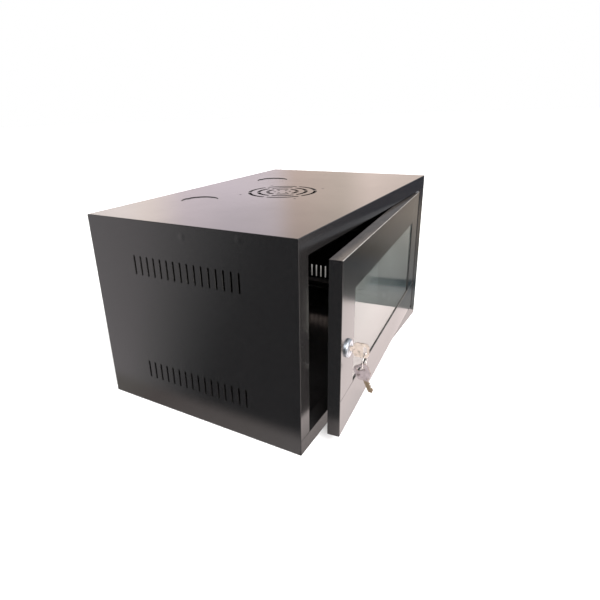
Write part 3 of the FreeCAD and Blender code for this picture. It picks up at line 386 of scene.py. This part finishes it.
def key_metal(name):
    """Nickel-plated brass: brushed flats, tarnish, painted shade on the edges, and brass worn bare on the spare's
    blade.
    """
    shader = Shader(name)
    lines = shader.noise(scale=900, detail=3, roughness=0.6, place=shader.stretched((1, 12, 1)))
    tarnish = shader.noise(scale=180, detail=5)
    height = shader.axis("Z")
    spare_low, spare_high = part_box("spare_key")
    border = (spare_high.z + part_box("lock_key")[0].z) / 2
    plating = shader.mix(shader.spread(height, 0, 1, border - MM, border + MM),
                         shader.ramp(tarnish, *SPARE_PLATING), shader.ramp(tarnish, *USED_PLATING))
    blade_top = spare_low.z + WORN_BLADE
    blade = shader.spread(height, 1, 0, blade_top, blade_top + WEAR_FADE)
    # Painted shade on faces that turn away from DOOR_X, the way the flats look
    flatness = shader.combine("POWER", shader.facing(DOOR_X), 2)
    edge_shade = shader.spread(flatness, EDGE_SHADE_SHARE, 0, 0.2, 0.7)
    colour = shader.mix(edge_shade, shader.mix(blade, plating, WORN_BRASS), KEY_EDGE_SHADE)
    roughness = shader.spread(lines, low=0.25, high=0.45)
    normal = shader.bump(lines, depth=0.06 * MM, strength=0.5)
    return shader.complete(Base_Color=colour, Metallic=0.55, Roughness=roughness, Normal=normal)


def bright_wire(name):
    """Polished steel wire with scuffs."""
    shader = Shader(name)
    roughness = shader.spread(shader.noise(scale=700), low=0.12, high=0.3)
    return shader.complete(Base_Color=BRIGHT_STEEL, Metallic=1.0, Roughness=roughness)


def zinc(name):
    """Zinc plating: blue-grey with a fine grain and dull patches."""
    shader = Shader(name)
    grain = shader.noise(scale=1200, detail=3)
    patch = shader.noise(scale=120, detail=5)
    colour = shader.ramp(patch, (0.35, (0.27, 0.285, 0.3)), (0.65, (0.37, 0.38, 0.385)))
    roughness = shader.spread(patch, low=0.3, high=0.5)
    normal = shader.bump(grain, depth=0.03 * MM, strength=0.3)
    return shader.complete(Base_Color=colour, Metallic=1.0, Roughness=roughness, Normal=normal)


def black_oxide(name):
    """Blackened steel with a thin sheen of oil."""
    shader = Shader(name)
    shade = shader.noise(scale=400)
    colour = shader.ramp(shade, (0.3, (0.02, 0.02, 0.021)), (0.7, (0.045, 0.044, 0.043)))
    roughness = shader.spread(shade, low=0.55, high=0.75)
    return shader.complete(Base_Color=colour, Metallic=0.3, Roughness=roughness)


def black_plastic(name):
    """Moulded black plastic with a fine spark-eroded grain."""
    shader = Shader(name)
    grain = shader.noise(scale=1600, detail=3, roughness=0.7)
    shade = shader.noise(scale=40)
    colour = shader.ramp(shade, (0.3, (0.012, 0.012, 0.013)), (0.7, (0.02, 0.02, 0.021)))
    roughness = shader.spread(shade, low=0.45, high=0.6)
    normal = shader.bump(grain, depth=0.08 * MM, strength=0.5)
    return shader.complete(Base_Color=colour, Roughness=roughness, Normal=normal)


def nylon(name):
    """Black nylon, a little greyed by wear."""
    shader = Shader(name)
    shade = shader.noise(scale=300)
    colour = shader.ramp(shade, (0.3, (0.02, 0.02, 0.02)), (0.7, (0.05, 0.05, 0.05)))
    return shader.complete(Base_Color=colour, Roughness=shader.spread(shade, low=0.4, high=0.55))


def rubber(name):
    """Black rubber with a matt grain."""
    shader = Shader(name)
    grain = shader.noise(scale=900, roughness=0.7)
    colour = shader.ramp(grain, (0.3, (0.012, 0.012, 0.012)), (0.75, (0.03, 0.03, 0.03)))
    roughness = shader.spread(grain, low=0.7, high=0.9)
    normal = shader.bump(grain, depth=0.1 * MM, strength=0.5)
    return shader.complete(Base_Color=colour, Roughness=roughness, Normal=normal)


# Each material slot of the record, and a duller paint for the steel inside
FINISHES = {
    "shell_paint": shell_paint,
    "rail_paint": rail_paint,
    "door_paint": door_paint,
    "zinc_steel": zinc,
    "black_screws": black_oxide,
    "lock_chrome": chrome,
    "key_metal": key_metal,
    "ring_wire": bright_wire,
    "fan_plastic": black_plastic,
    "nylon": nylon,
    "black_rubber": rubber,
    "clear_glass": clear_glass,
    "inner_paint": inner_paint,
}
BARS = ("left_lower_bar", "left_upper_bar", "right_lower_bar", "right_upper_bar")
INNER_STEEL = (*BARS, "stop_tabs")

materials = {finish: make(finish) for finish, make in FINISHES.items()}


def finish_nodes():
    """Gives each node the finish of its material slot, and the duller paint to the steel inside."""
    for node, slot in slot_of.items():
        finish = "inner_paint" if node in INNER_STEEL else slot
        nodes[node].data.materials.clear()
        nodes[node].data.materials.append(materials[finish])


# Edges that are sharp in the frame

CLOSE = 0.001 * MM
EDGE_ANGLE = math.radians(40)
SOFT_EDGES = {
    0.15 * MM: ("lock_key", "spare_key", "glass_clips", "lock_cam"),
    0.3 * MM: ("left_rail", "right_rail", "stop_tabs", "hinge_blocks", *BARS, "fan_rotor"),
    0.5 * MM: ("door_glass",),
}


def soften_edges():
    """Bevels the sharp edges of thin pieces, by a width for each group."""
    for width, group in SOFT_EDGES.items():
        for node in group:
            weld = nodes[node].modifiers.new("weld", "WELD")
            weld.merge_threshold = CLOSE
            bevel = nodes[node].modifiers.new("bevel", "BEVEL")
            bevel.width = width
            bevel.segments = 2
            bevel.limit_method = "ANGLE"
            bevel.angle_limit = EDGE_ANGLE
            bevel.harden_normals = True


# Measuring the plain fasteners of the frame, and turning detailed ones in their place

Solid = namedtuple("Solid", "middle axis low high bore reach head")


def islands(work):
    """The vertices of each connected piece of a mesh."""
    left = set(work.verts)
    while left:
        group, front = set(), [left.pop()]
        while front:
            vertex = front.pop()
            group.add(vertex)
            fresh = {edge.other_vert(vertex) for edge in vertex.link_edges} & left
            left -= fresh
            front.extend(fresh)
        yield group


def span(group, line):
    """The least and the greatest place of vertices along a direction."""
    places = [vertex.co.dot(line) for vertex in group]
    return min(places), max(places)


def measure(group, axis):
    """Measures a turned solid about an axis, which is then made to point from its head to its tip.

    Low, high and head are heights from its middle, head those of its widest part, and bore and reach are
    its least and greatest radius."""
    side = axis.orthogonal().normalized()
    lines = (side, axis.cross(side), axis)
    spans = [span(group, line) for line in lines]
    middle = sum((line * (low + high) / 2 for line, (low, high) in zip(lines, spans)), Vector())
    places = []
    for vertex in group:
        offset = vertex.co - middle
        height = offset.dot(axis)
        places.append(((offset - axis * height).length, height))
    bore = min(radius for radius, height in places)
    reach = max(radius for radius, height in places)
    wide = [height for radius, height in places if radius > (bore + reach) / 2]
    half = (spans[2][1] - spans[2][0]) / 2
    way = -1 if max(wide) + min(wide) > CLOSE else 1
    head = sorted((way * min(wide), way * max(wide)))
    return Solid(middle, axis * way, -half, half, bore, reach, head)


def solids(node, axis):
    """The measures of a node's solids, in the order of their places."""
    work = bmesh.new()
    work.from_mesh(nodes[node].data)
    bmesh.ops.remove_doubles(work, verts=work.verts, dist=CLOSE)
    found = [measure(group, axis) for group in islands(work)]
    work.free()
    return sorted(found, key=lambda solid: tuple(solid.middle))


def stand(solid):
    """A place at a solid's middle whose Z axis points along the solid's axis."""
    turn = solid.axis.to_track_quat("Z", "Y").to_matrix()
    return Matrix.Translation(solid.middle) @ turn.to_4x4()


def bridge(work, one, two, closed):
    """Faces between two rows of vertices, and between their ends if the rows are closed."""
    count = len(one)
    for index in range(count if closed else count - 1):
        following = (index + 1) % count
        work.faces.new((one[index], two[index], two[following], one[following]))


def spin(work, solid, steps, outline_at, closed=False):
    """Turns an outline of radii and heights about a solid's axis; it may change with the angle."""
    place = stand(solid)
    rows = []
    for step in range(steps):
        turn = 2 * math.pi * step / steps
        way = Vector((math.cos(turn), math.sin(turn), 0))
        rows.append([work.verts.new(place @ (radius * way + height * Z))
                     for radius, height in outline_at(turn)])
    for one, two in zip(rows, rows[1:] + rows[:1]):
        bridge(work, one, two, closed)
    bmesh.ops.remove_doubles(work, verts=[vertex for row in rows for vertex in row], dist=CLOSE)


# Metric threads

THREAD_STEPS = 16
ROWS_PER_TURN = 4
THREAD_DEPTH = 0.5
SMALL_PITCH = 0.7 * MM
LARGE_PITCH = 1.0 * MM
SMALL_RADIUS = 2.5 * MM


def thread(radius, low, high, turn):
    """The outline of a metric thread between two heights, at an angle round its axis."""
    pitch = SMALL_PITCH if radius < SMALL_RADIUS else LARGE_PITCH
    rows = math.ceil((high - low) / pitch * ROWS_PER_TURN)
    outline = []
    for row in range(rows + 1):
        height = low + (high - low) * row / rows
        phase = (height / pitch - turn / (2 * math.pi)) % 1
        outline.append((radius - THREAD_DEPTH * pitch * abs(2 * phase - 1), height))
    return outline


# Screws: shares of the head's radius and height, and of the shank's radius

HEAD_STEPS = 48
CROWN_RINGS = (1.0, 0.85, 0.7, 0.58)
CROWN_DROP = 0.45
RECESS_LENGTH = 0.5
RECESS_BREADTH = 0.13
RECESS_DEPTH = 0.55
RECESS_FLOOR = 0.6
TIP_LENGTH = 0.4
TIP_RADIUS = 0.65
TINY = 1e-9


def cross_reach(turn, length, breadth):
    """How far a cross-shaped recess reaches from its middle, at an angle."""
    across = max(abs(math.cos(turn)), TINY)
    along = max(abs(math.sin(turn)), TINY)
    flat = min(length / across, breadth / along)
    upright = min(breadth / across, length / along)
    return max(flat, upright)


def screw(work, solid):
    """A domed head with a cross recess, and a threaded shank."""
    face, seat = solid.head
    height = seat - face

    def crown(radius):
        return (radius, face + CROWN_DROP * height * (radius / solid.reach) ** 2)

    def head(turn):
        edge = cross_reach(turn, RECESS_LENGTH * solid.reach, RECESS_BREADTH * solid.reach)
        floor = face + RECESS_DEPTH * height
        return [(0, seat), (solid.reach, seat), *(crown(share * solid.reach) for share in CROWN_RINGS),
                crown(edge), (RECESS_FLOOR * edge, floor), (0, floor)]

    def shank(turn):
        tip = solid.high - TIP_LENGTH * solid.bore
        return [(0, seat), *thread(solid.bore, seat, tip, turn), (TIP_RADIUS * solid.bore, solid.high),
                (0, solid.high)]

    spin(work, solid, HEAD_STEPS, head)
    spin(work, solid, THREAD_STEPS, shank)


# Studs: shares of the radius

CHAMFER_LENGTH = 0.3
CHAMFER_RADIUS = 0.7


def stud(work, solid):
    """A threaded stud with a chamfered end."""
    def outline(turn):
        chamfer = solid.high - CHAMFER_LENGTH * solid.bore
        return [(0, solid.low), *thread(solid.bore, solid.low, chamfer, turn),
                (CHAMFER_RADIUS * solid.bore, solid.high), (0, solid.high)]

    spin(work, solid, THREAD_STEPS, outline)


# Nuts: shares of the distance from the axis to a flat, and of the height

WASHER_FACE = 0.95
BORE_BEVEL = 0.12
THIN_BEVEL = 0.2

# Half the angle of a hexagon's side, and the slope of the corners that are turned down
HALF_SIDE = math.pi / 6
CORNER_SLOPE = math.tan(math.radians(30))


def nut(work, solid):
    """A hexagon nut whose corners are turned down on both faces."""
    flat = solid.reach * math.cos(HALF_SIDE)
    washer = WASHER_FACE * flat
    bevel = min(BORE_BEVEL * flat, THIN_BEVEL * (solid.high - solid.low))

    def outline(turn):
        lobe = (turn + HALF_SIDE) % (2 * HALF_SIDE) - HALF_SIDE
        side = flat / math.cos(lobe)
        drop = (side - washer) * CORNER_SLOPE
        return [(solid.bore, solid.low + bevel), (solid.bore + bevel, solid.low), (washer, solid.low),
                (side, solid.low + drop), (side, solid.high - drop), (washer, solid.high),
                (solid.bore + bevel, solid.high), (solid.bore, solid.high - bevel)]

    spin(work, solid, HEAD_STEPS, outline, closed=True)


FASTENERS = {
    "rail_bolts": (screw, X),
    "fan_screws": (screw, Z),
    "cam_screw": (screw, DOOR_Y),
    "clip_studs": (stud, DOOR_Y),
    "earth_stud": (stud, -Y),
    "rail_nuts": (nut, X),
    "clip_nuts": (nut, DOOR_Y),
    "earth_nut": (nut, Y),
    "lock_nut": (nut, DOOR_Y),
}
SHARP = math.radians(35)


def new_piece(name, work, node):
    """A piece of new mesh that stands for a node of the frame, with its body and finish."""
    bmesh.ops.recalc_face_normals(work, faces=work.faces)
    mesh = bpy.data.meshes.new(name)
    work.to_mesh(mesh)
    work.free()
    mesh.shade_smooth()
    mesh.set_sharp_from_angle(angle=SHARP)
    mesh.materials.append(materials[slot_of[node]])
    piece = bpy.data.objects.new(name, mesh)
    bpy.context.scene.collection.objects.link(piece)
    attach(piece, body_of[node])
    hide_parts(node)


def make_fasteners():
    """Detailed screws, studs and nuts where the frame has plain ones."""
    for node, (make, axis) in FASTENERS.items():
        work = bmesh.new()
        for solid in solids(node, axis):
            make(work, solid)
        new_piece("detailed_" + node, work, node)


# Split key ring: two turns of flat wire that cross in one step

RING_STEPS = 200
STEP_SPAN = 0.1
END_GAP = 0.02
WIRE_CORNERS = 12
WIRE_SHARE = 0.46
WIRE_ROUNDNESS = 0.6


def wire_section(half_wide, half_thick):
    """The outline of flat wire with rounded edges."""
    def rounded(share):
        return math.copysign(abs(share) ** WIRE_ROUNDNESS, share)

    turns = [2 * math.pi * corner / WIRE_CORNERS for corner in range(WIRE_CORNERS)]
    return [(half_wide * rounded(math.cos(turn)), half_thick * rounded(math.sin(turn))) for turn in turns]


def make_key_ring():
    """Two turns of wire, one above the other, with a step between them."""
    ring = solids("key_ring", DOOR_Y)[0]
    layer = (ring.high - ring.low) / 2
    section = wire_section(WIRE_SHARE * (ring.reach - ring.bore), WIRE_SHARE * layer)
    place = stand(ring)
    start = STEP_SPAN / 2 + END_GAP
    end = 2 - start
    work = bmesh.new()
    rows = []
    for step in range(RING_STEPS + 1):
        turns = start + (end - start) * step / RING_STEPS
        rise = min(max((turns - 1) / STEP_SPAN + 0.5, 0), 1)
        level = layer * (rise * rise * (3 - 2 * rise) - 0.5)
        turn = 2 * math.pi * turns
        rows.append([])
        for wide, thick in section:
            radius = (ring.bore + ring.reach) / 2 + wide
            point = Vector((radius * math.cos(turn), radius * math.sin(turn), level + thick))
            rows[-1].append(work.verts.new(place @ point))
    for one, two in zip(rows, rows[1:]):
        bridge(work, one, two, closed=True)
    work.faces.new(rows[0])
    work.faces.new(reversed(rows[-1]))
    new_piece("split_ring", work, "key_ring")


# Stage: a pale floor, and cards that the object reflects

FAR = 30.0
LIFT = 0.6 * MM
FLOOR_LEVEL = -LIFT
PAPER_LEVEL = 0.5 * LIFT
SHADE_LEVEL = 0.75 * LIFT
ROOM_LEVEL = LIFT
CARDS_BACK = 0.3


def stage_piece(name, points, faces, material, direct=False):
    """A piece of the stage. Unless it is `direct`, it shows only in reflections and through glass."""
    mesh = bpy.data.meshes.new(name)
    mesh.from_pydata(points, [], faces)
    mesh.materials.append(material)
    piece = bpy.data.objects.new(name, mesh)
    bpy.context.scene.collection.objects.link(piece)
    if not direct:
        piece.visible_camera = False
        piece.visible_diffuse = False
        piece.visible_shadow = False


def level_card(name, outline, level, material, direct=False):
    """A level piece of the stage, with its outline at a height."""
    points = [(along, across, level) for along, across in outline]
    stage_piece(name, points, [range(len(points))], material, direct)


def rectangle(start, end):
    """The outline of a rectangle between two opposite corners."""
    return [start, (end[0], start[1]), end, (start[0], end[1])]


def floor_glow(name, strength, reach, stops):
    """A glow with colours along a stretch of floor that `reach` works out as a factor."""
    shader = Shader(name, "Emission")
    return shader.complete(Color=shader.ramp(reach(shader), *stops), Strength=strength)


FLOOR_WHITES = ((0.3, (0.86, 0.855, 0.85)), (0.7, (0.9, 0.9, 0.9)))
# A painted shadow on the floor right of the object: its middle, reach and colour
PAINTED_SHADOW_PLACE = (0.43, 0.15, 0)
PAINTED_SHADOW_REACH = 0.24
PAINTED_SHADOW_GREY = (0.22, 0.21, 0.2, 1)


def make_floor():
    """Pale paper, with a painted shadow right of the object."""
    shader = Shader("floor_paper")
    whites = shader.ramp(shader.noise(scale=3), *FLOOR_WHITES)
    colour = shader.mix(shader.near(PAINTED_SHADOW_PLACE, PAINTED_SHADOW_REACH), whites, PAINTED_SHADOW_GREY)
    material = shader.complete(Base_Color=colour, Roughness=0.8)
    level_card("floor", rectangle((-FAR, -FAR), (FAR, FAR)), FLOOR_LEVEL, material, direct=True)


ROOM_RIGHT = 0.29
ROOM_FRONT = -0.48
RIGHT_OUTLINE = ((0.296, ROOM_FRONT), (0.296, -0.36), (0.28, -0.16), (0.28, CARDS_BACK), (FAR, CARDS_BACK),
                 (FAR, ROOM_FRONT))
RIGHT_GLOW = 1.25
RIGHT_BLEND = (-0.31, -0.29)
RIGHT_BANDED = ((0.0, (0.31, 0.31, 0.3)), (0.07, (0.33, 0.33, 0.325)), (0.12, (0.23, 0.24, 0.25)),
                (0.14, (0.06, 0.08, 0.09)), (0.18, (0.03, 0.045, 0.055)), (0.2, (0.26, 0.26, 0.255)),
                (0.45, (0.26, 0.25, 0.235)), (1.0, (0.42, 0.37, 0.32)))
RIGHT_DIM = ((0.0, (0.31, 0.31, 0.3)), (0.075, (0.195, 0.195, 0.185)), (0.12, (0.17, 0.168, 0.16)),
             (0.21, (0.15, 0.15, 0.145)), (0.28, (0.1, 0.11, 0.115)), (0.33, (0.12, 0.118, 0.115)),
             (0.44, (0.14, 0.125, 0.1)), (0.58, (0.265, 0.24, 0.21)), (1.0, (0.42, 0.36, 0.305)))
FRONT_ROOM_LEFT = 0.3
FRONT_ROOM_GLOW = 1.0
FRONT_ROOM_DIM = ((0.0, (0.26, 0.25, 0.25)), (0.4, (0.22, 0.21, 0.21)), (0.6, (0.09, 0.09, 0.11)),
                  (1.0, (0.07, 0.075, 0.1)))


def reach_right(shader):
    """0 to 1 over the first metre of floor right of the object."""
    return shader.spread(shader.axis("X"), 0, 1, ROOM_RIGHT, ROOM_RIGHT + 1)


def right_floor():
    """A dark band across the floor that dissolves towards the front."""
    shader = Shader("right_floor", "Emission")
    reach = reach_right(shader)
    front = shader.spread(shader.axis("Y"), 1, 0, *RIGHT_BLEND)
    colour = shader.mix(front, shader.ramp(reach, *RIGHT_BANDED), shader.ramp(reach, *RIGHT_DIM))
    return shader.complete(Color=colour, Strength=RIGHT_GLOW)


def lay_right_cards():
    """The dim floor right of the object, and further on towards the front."""
    level_card("room_right", RIGHT_OUTLINE, ROOM_LEVEL, right_floor())
    material = floor_glow("dim_room_front", FRONT_ROOM_GLOW, reach_right, FRONT_ROOM_DIM)
    level_card("room_front", rectangle((FRONT_ROOM_LEFT, ROOM_FRONT), (FAR, -FAR)), ROOM_LEVEL, material)


PAPER_LEFT = -0.307
PAPER_FRONT = -0.17
LEFT_FOOT = LOCK_SIDE - MM
LEFT_GLOW = 2.0
LEFT_FADE = (-0.323, -0.289)
LEFT_MIDDLE = (0.06, -0.16)
LEFT_ROOM = ((-180, (0.04, 0.04, 0.04)), (-60, (0.04, 0.04, 0.04)), (131, (0.685, 0.64, 0.65)),
             (134, (0.66, 0.61, 0.62)), (136.5, (0.625, 0.58, 0.59)), (139.5, (0.49, 0.465, 0.465)),
             (143, (0.355, 0.34, 0.34)), (146, (0.235, 0.23, 0.23)), (149, (0.145, 0.145, 0.145)),
             (152, (0.08, 0.08, 0.08)), (155, (0.05, 0.05, 0.05)), (165, (0.04, 0.04, 0.04)))
LEFT_PAPER = ((0.0, (0.66, 0.6, 0.585)), (0.3, (0.54, 0.475, 0.45)), (0.55, (0.46, 0.395, 0.375)),
              (0.8, (0.37, 0.31, 0.29)), (1.0, (0.45, 0.41, 0.375)))


def left_floor():
    """A strip of shaded paper that fades into the room."""
    shader = Shader("left_floor", "Emission")
    room = shader.compass(LEFT_ROOM, LEFT_MIDDLE)
    along = shader.spread(shader.axis("Y"), 0, 1, PAPER_FRONT, -PAPER_FRONT)
    fade = shader.spread(shader.axis("X"), 0, 1, *LEFT_FADE, smooth=True)
    colour = shader.mix(fade, room, shader.ramp(along, *LEFT_PAPER))
    return shader.complete(Color=colour, Strength=LEFT_GLOW)


def lay_left_cards():
    """The room left of the object, and the paper between it and the object."""
    material = left_floor()
    level_card("room_left", rectangle((PAPER_LEFT, -FAR), (-FAR, FAR)), ROOM_LEVEL, material)
    level_card("paper_left", rectangle((PAPER_LEFT, PAPER_FRONT), (LEFT_FOOT, CARDS_BACK)), ROOM_LEVEL,
               material)


PAPER_RIGHT = 0.32
PAPER_BACK = -0.1665
PAPER_GLOW = 2.55
# Darker close to the object, brightening over 20 cm: painted shade on the glowing paper
LIT_PAPER = ((0.04, (0.72, 0.631, 0.611)), (0.055, (0.8, 0.701, 0.679)), (0.065, (0.86, 0.753, 0.73)),
             (0.075, (0.9, 0.788, 0.764)), (0.09, (0.945, 0.828, 0.802)), (0.2, (0.97, 0.86, 0.83)))
SHADE_END = -0.08
SHADE_DEEP = 0.062
SHADED_PAPER = ((0.0, (0.3, 0.265, 0.255)), (0.02, (0.4, 0.355, 0.345)), (0.035, (0.6, 0.53, 0.515)),
                (0.06, (0.8, 0.71, 0.69)))


def reach_front(shader):
    """0 to 1 over the first metre of floor in front of the object."""
    return shader.spread(shader.axis("Y"), 0, 1, PAPER_FRONT, PAPER_FRONT - 1)


def lay_front_cards():
    """Glowing paper in front of the object with painted shade close to it, and the painted shade on it under the
    open end of the door.
    """
    lit = floor_glow("lit_paper", PAPER_GLOW, reach_front, LIT_PAPER)
    level_card("paper_front", rectangle((PAPER_LEFT, PAPER_BACK), (PAPER_RIGHT, -FAR)), PAPER_LEVEL, lit)
    shade = floor_glow("paper_under_door", PAPER_GLOW, reach_front, SHADED_PAPER)
    outline = rectangle((PAPER_LEFT, PAPER_FRONT), (SHADE_END, PAPER_FRONT - SHADE_DEEP))
    level_card("paper_shade", outline, SHADE_LEVEL, shade)


# Surroundings above the floor: spans are in degrees from X, heights in metres

WALL_STEPS = 48
WALL_RADIUS = 3.0
BACKDROP_SPAN = (-10, 140)
BACKDROP_HEIGHTS = (0.0, 1.6)
BACKDROP_GLOW = (1.64, 2.2)
BACKDROP_RISE = (0.62, 1.0)
BACKDROP_HUES = ((-10, (0.36, 0.32, 0.28)), (17, (0.83, 0.69, 0.62)), (21, (0.62, 0.52, 0.45)),
                 (28.5, (0.61, 0.48, 0.423)), (31.5, (0.715, 0.625, 0.658)), (38, (0.71, 0.625, 0.672)),
                 (45, (0.763, 0.66, 0.7)), (50, (0.965, 0.84, 0.78)), (54, (1.03, 0.92, 0.875)),
                 (130, (0.885, 0.85, 0.85)), (140, (0.35, 0.35, 0.35)))
WINDOW_SPAN = (-80, -11)
WINDOW_HEIGHTS = (0.7, 2.8)
WINDOW_GLOW = 1.3
WINDOW_HUES = ((-75, (0.62, 0.66, 0.72)), (-40, (0.72, 0.79, 0.9)), (0, (0.66, 0.7, 0.76)))
CEILING_REACH = 2.5
CEILING_HEIGHT = 3.0
CEILING_GLOW = 0.6
CEILING_HUES = ((-180, (0.9, 0.85, 0.84)), (0, (0.8, 0.8, 0.82)), (180, (0.9, 0.85, 0.84)))
SURROUND = 20.0


def curved_wall(name, material, directions, heights):
    """A wall round the object between two directions and two heights."""
    start, end = directions
    turns = [math.radians(start + (end - start) * step / WALL_STEPS) for step in range(WALL_STEPS + 1)]
    points = [(WALL_RADIUS * math.cos(turn), WALL_RADIUS * math.sin(turn), up)
              for turn in turns for up in heights]
    faces = [(2 * step, 2 * step + 2, 2 * step + 3, 2 * step + 1) for step in range(WALL_STEPS)]
    stage_piece(name, points, faces, material)


def make_backdrop():
    """A wall behind the object, warm and cool in turn and brighter higher up."""
    shader = Shader("backdrop", "Emission")
    strength = shader.spread(shader.axis("Z"), *BACKDROP_GLOW, *BACKDROP_RISE)
    material = shader.complete(Color=shader.compass(BACKDROP_HUES), Strength=strength)
    curved_wall("backdrop", material, BACKDROP_SPAN, BACKDROP_HEIGHTS)


def make_window():
    """Pale daylight from the right front, for the polished metal."""
    shader = Shader("window", "Emission")
    material = shader.complete(Color=shader.compass(WINDOW_HUES), Strength=WINDOW_GLOW)
    curved_wall("window", material, WINDOW_SPAN, WINDOW_HEIGHTS)


def make_ceiling():
    """A pale grey ceiling, warmer towards the left."""
    shader = Shader("ceiling", "Emission")
    material = shader.complete(Color=shader.compass(CEILING_HUES), Strength=CEILING_GLOW)
    outline = rectangle((-CEILING_REACH, -CEILING_REACH), (CEILING_REACH, CEILING_REACH))
    level_card("ceiling", outline, CEILING_HEIGHT, material)


def make_dome():
    """A white surround, which reflections don't show."""
    white = Shader("white_surround", "Emission")
    bpy.ops.mesh.primitive_uv_sphere_add(segments=48, ring_count=24, radius=SURROUND)
    dome = bpy.context.object
    dome.name = "surround"
    dome.data.materials.append(white.complete(Color=(1, 1, 1, 1)))
    dome.visible_glossy = False
    dome.visible_diffuse = False
    dome.visible_shadow = False


SUN_FROM = Vector((-0.52, -0.54, 0.66))
SUN_STRENGTH = 7.7
SUN_BREADTH = math.radians(45)
ROOM_LIGHT = (0.2, 0.195, 0.19, 1)


def make_light():
    """A soft sun from the camera's side, and even light from all round."""
    data = bpy.data.lights.new("soft_sun", "SUN")
    data.energy = SUN_STRENGTH
    data.angle = SUN_BREADTH
    light = bpy.data.objects.new("soft_sun", data)
    light.rotation_euler = SUN_FROM.to_track_quat("Z", "Y").to_euler()
    bpy.context.scene.collection.objects.link(light)
    world = bpy.data.worlds.new("room")
    world.use_nodes = True
    world.node_tree.nodes["Background"].inputs["Color"].default_value = ROOM_LIGHT
    bpy.context.scene.world = world
    bpy.context.scene.view_settings.view_transform = "Standard"


def make_stage():
    make_floor()
    lay_right_cards()
    lay_left_cards()
    lay_front_cards()
    make_backdrop()
    make_window()
    make_ceiling()
    make_dome()
    make_light()


make_camera()
finish_nodes()
soften_edges()
make_fasteners()
make_key_ring()
make_stage()
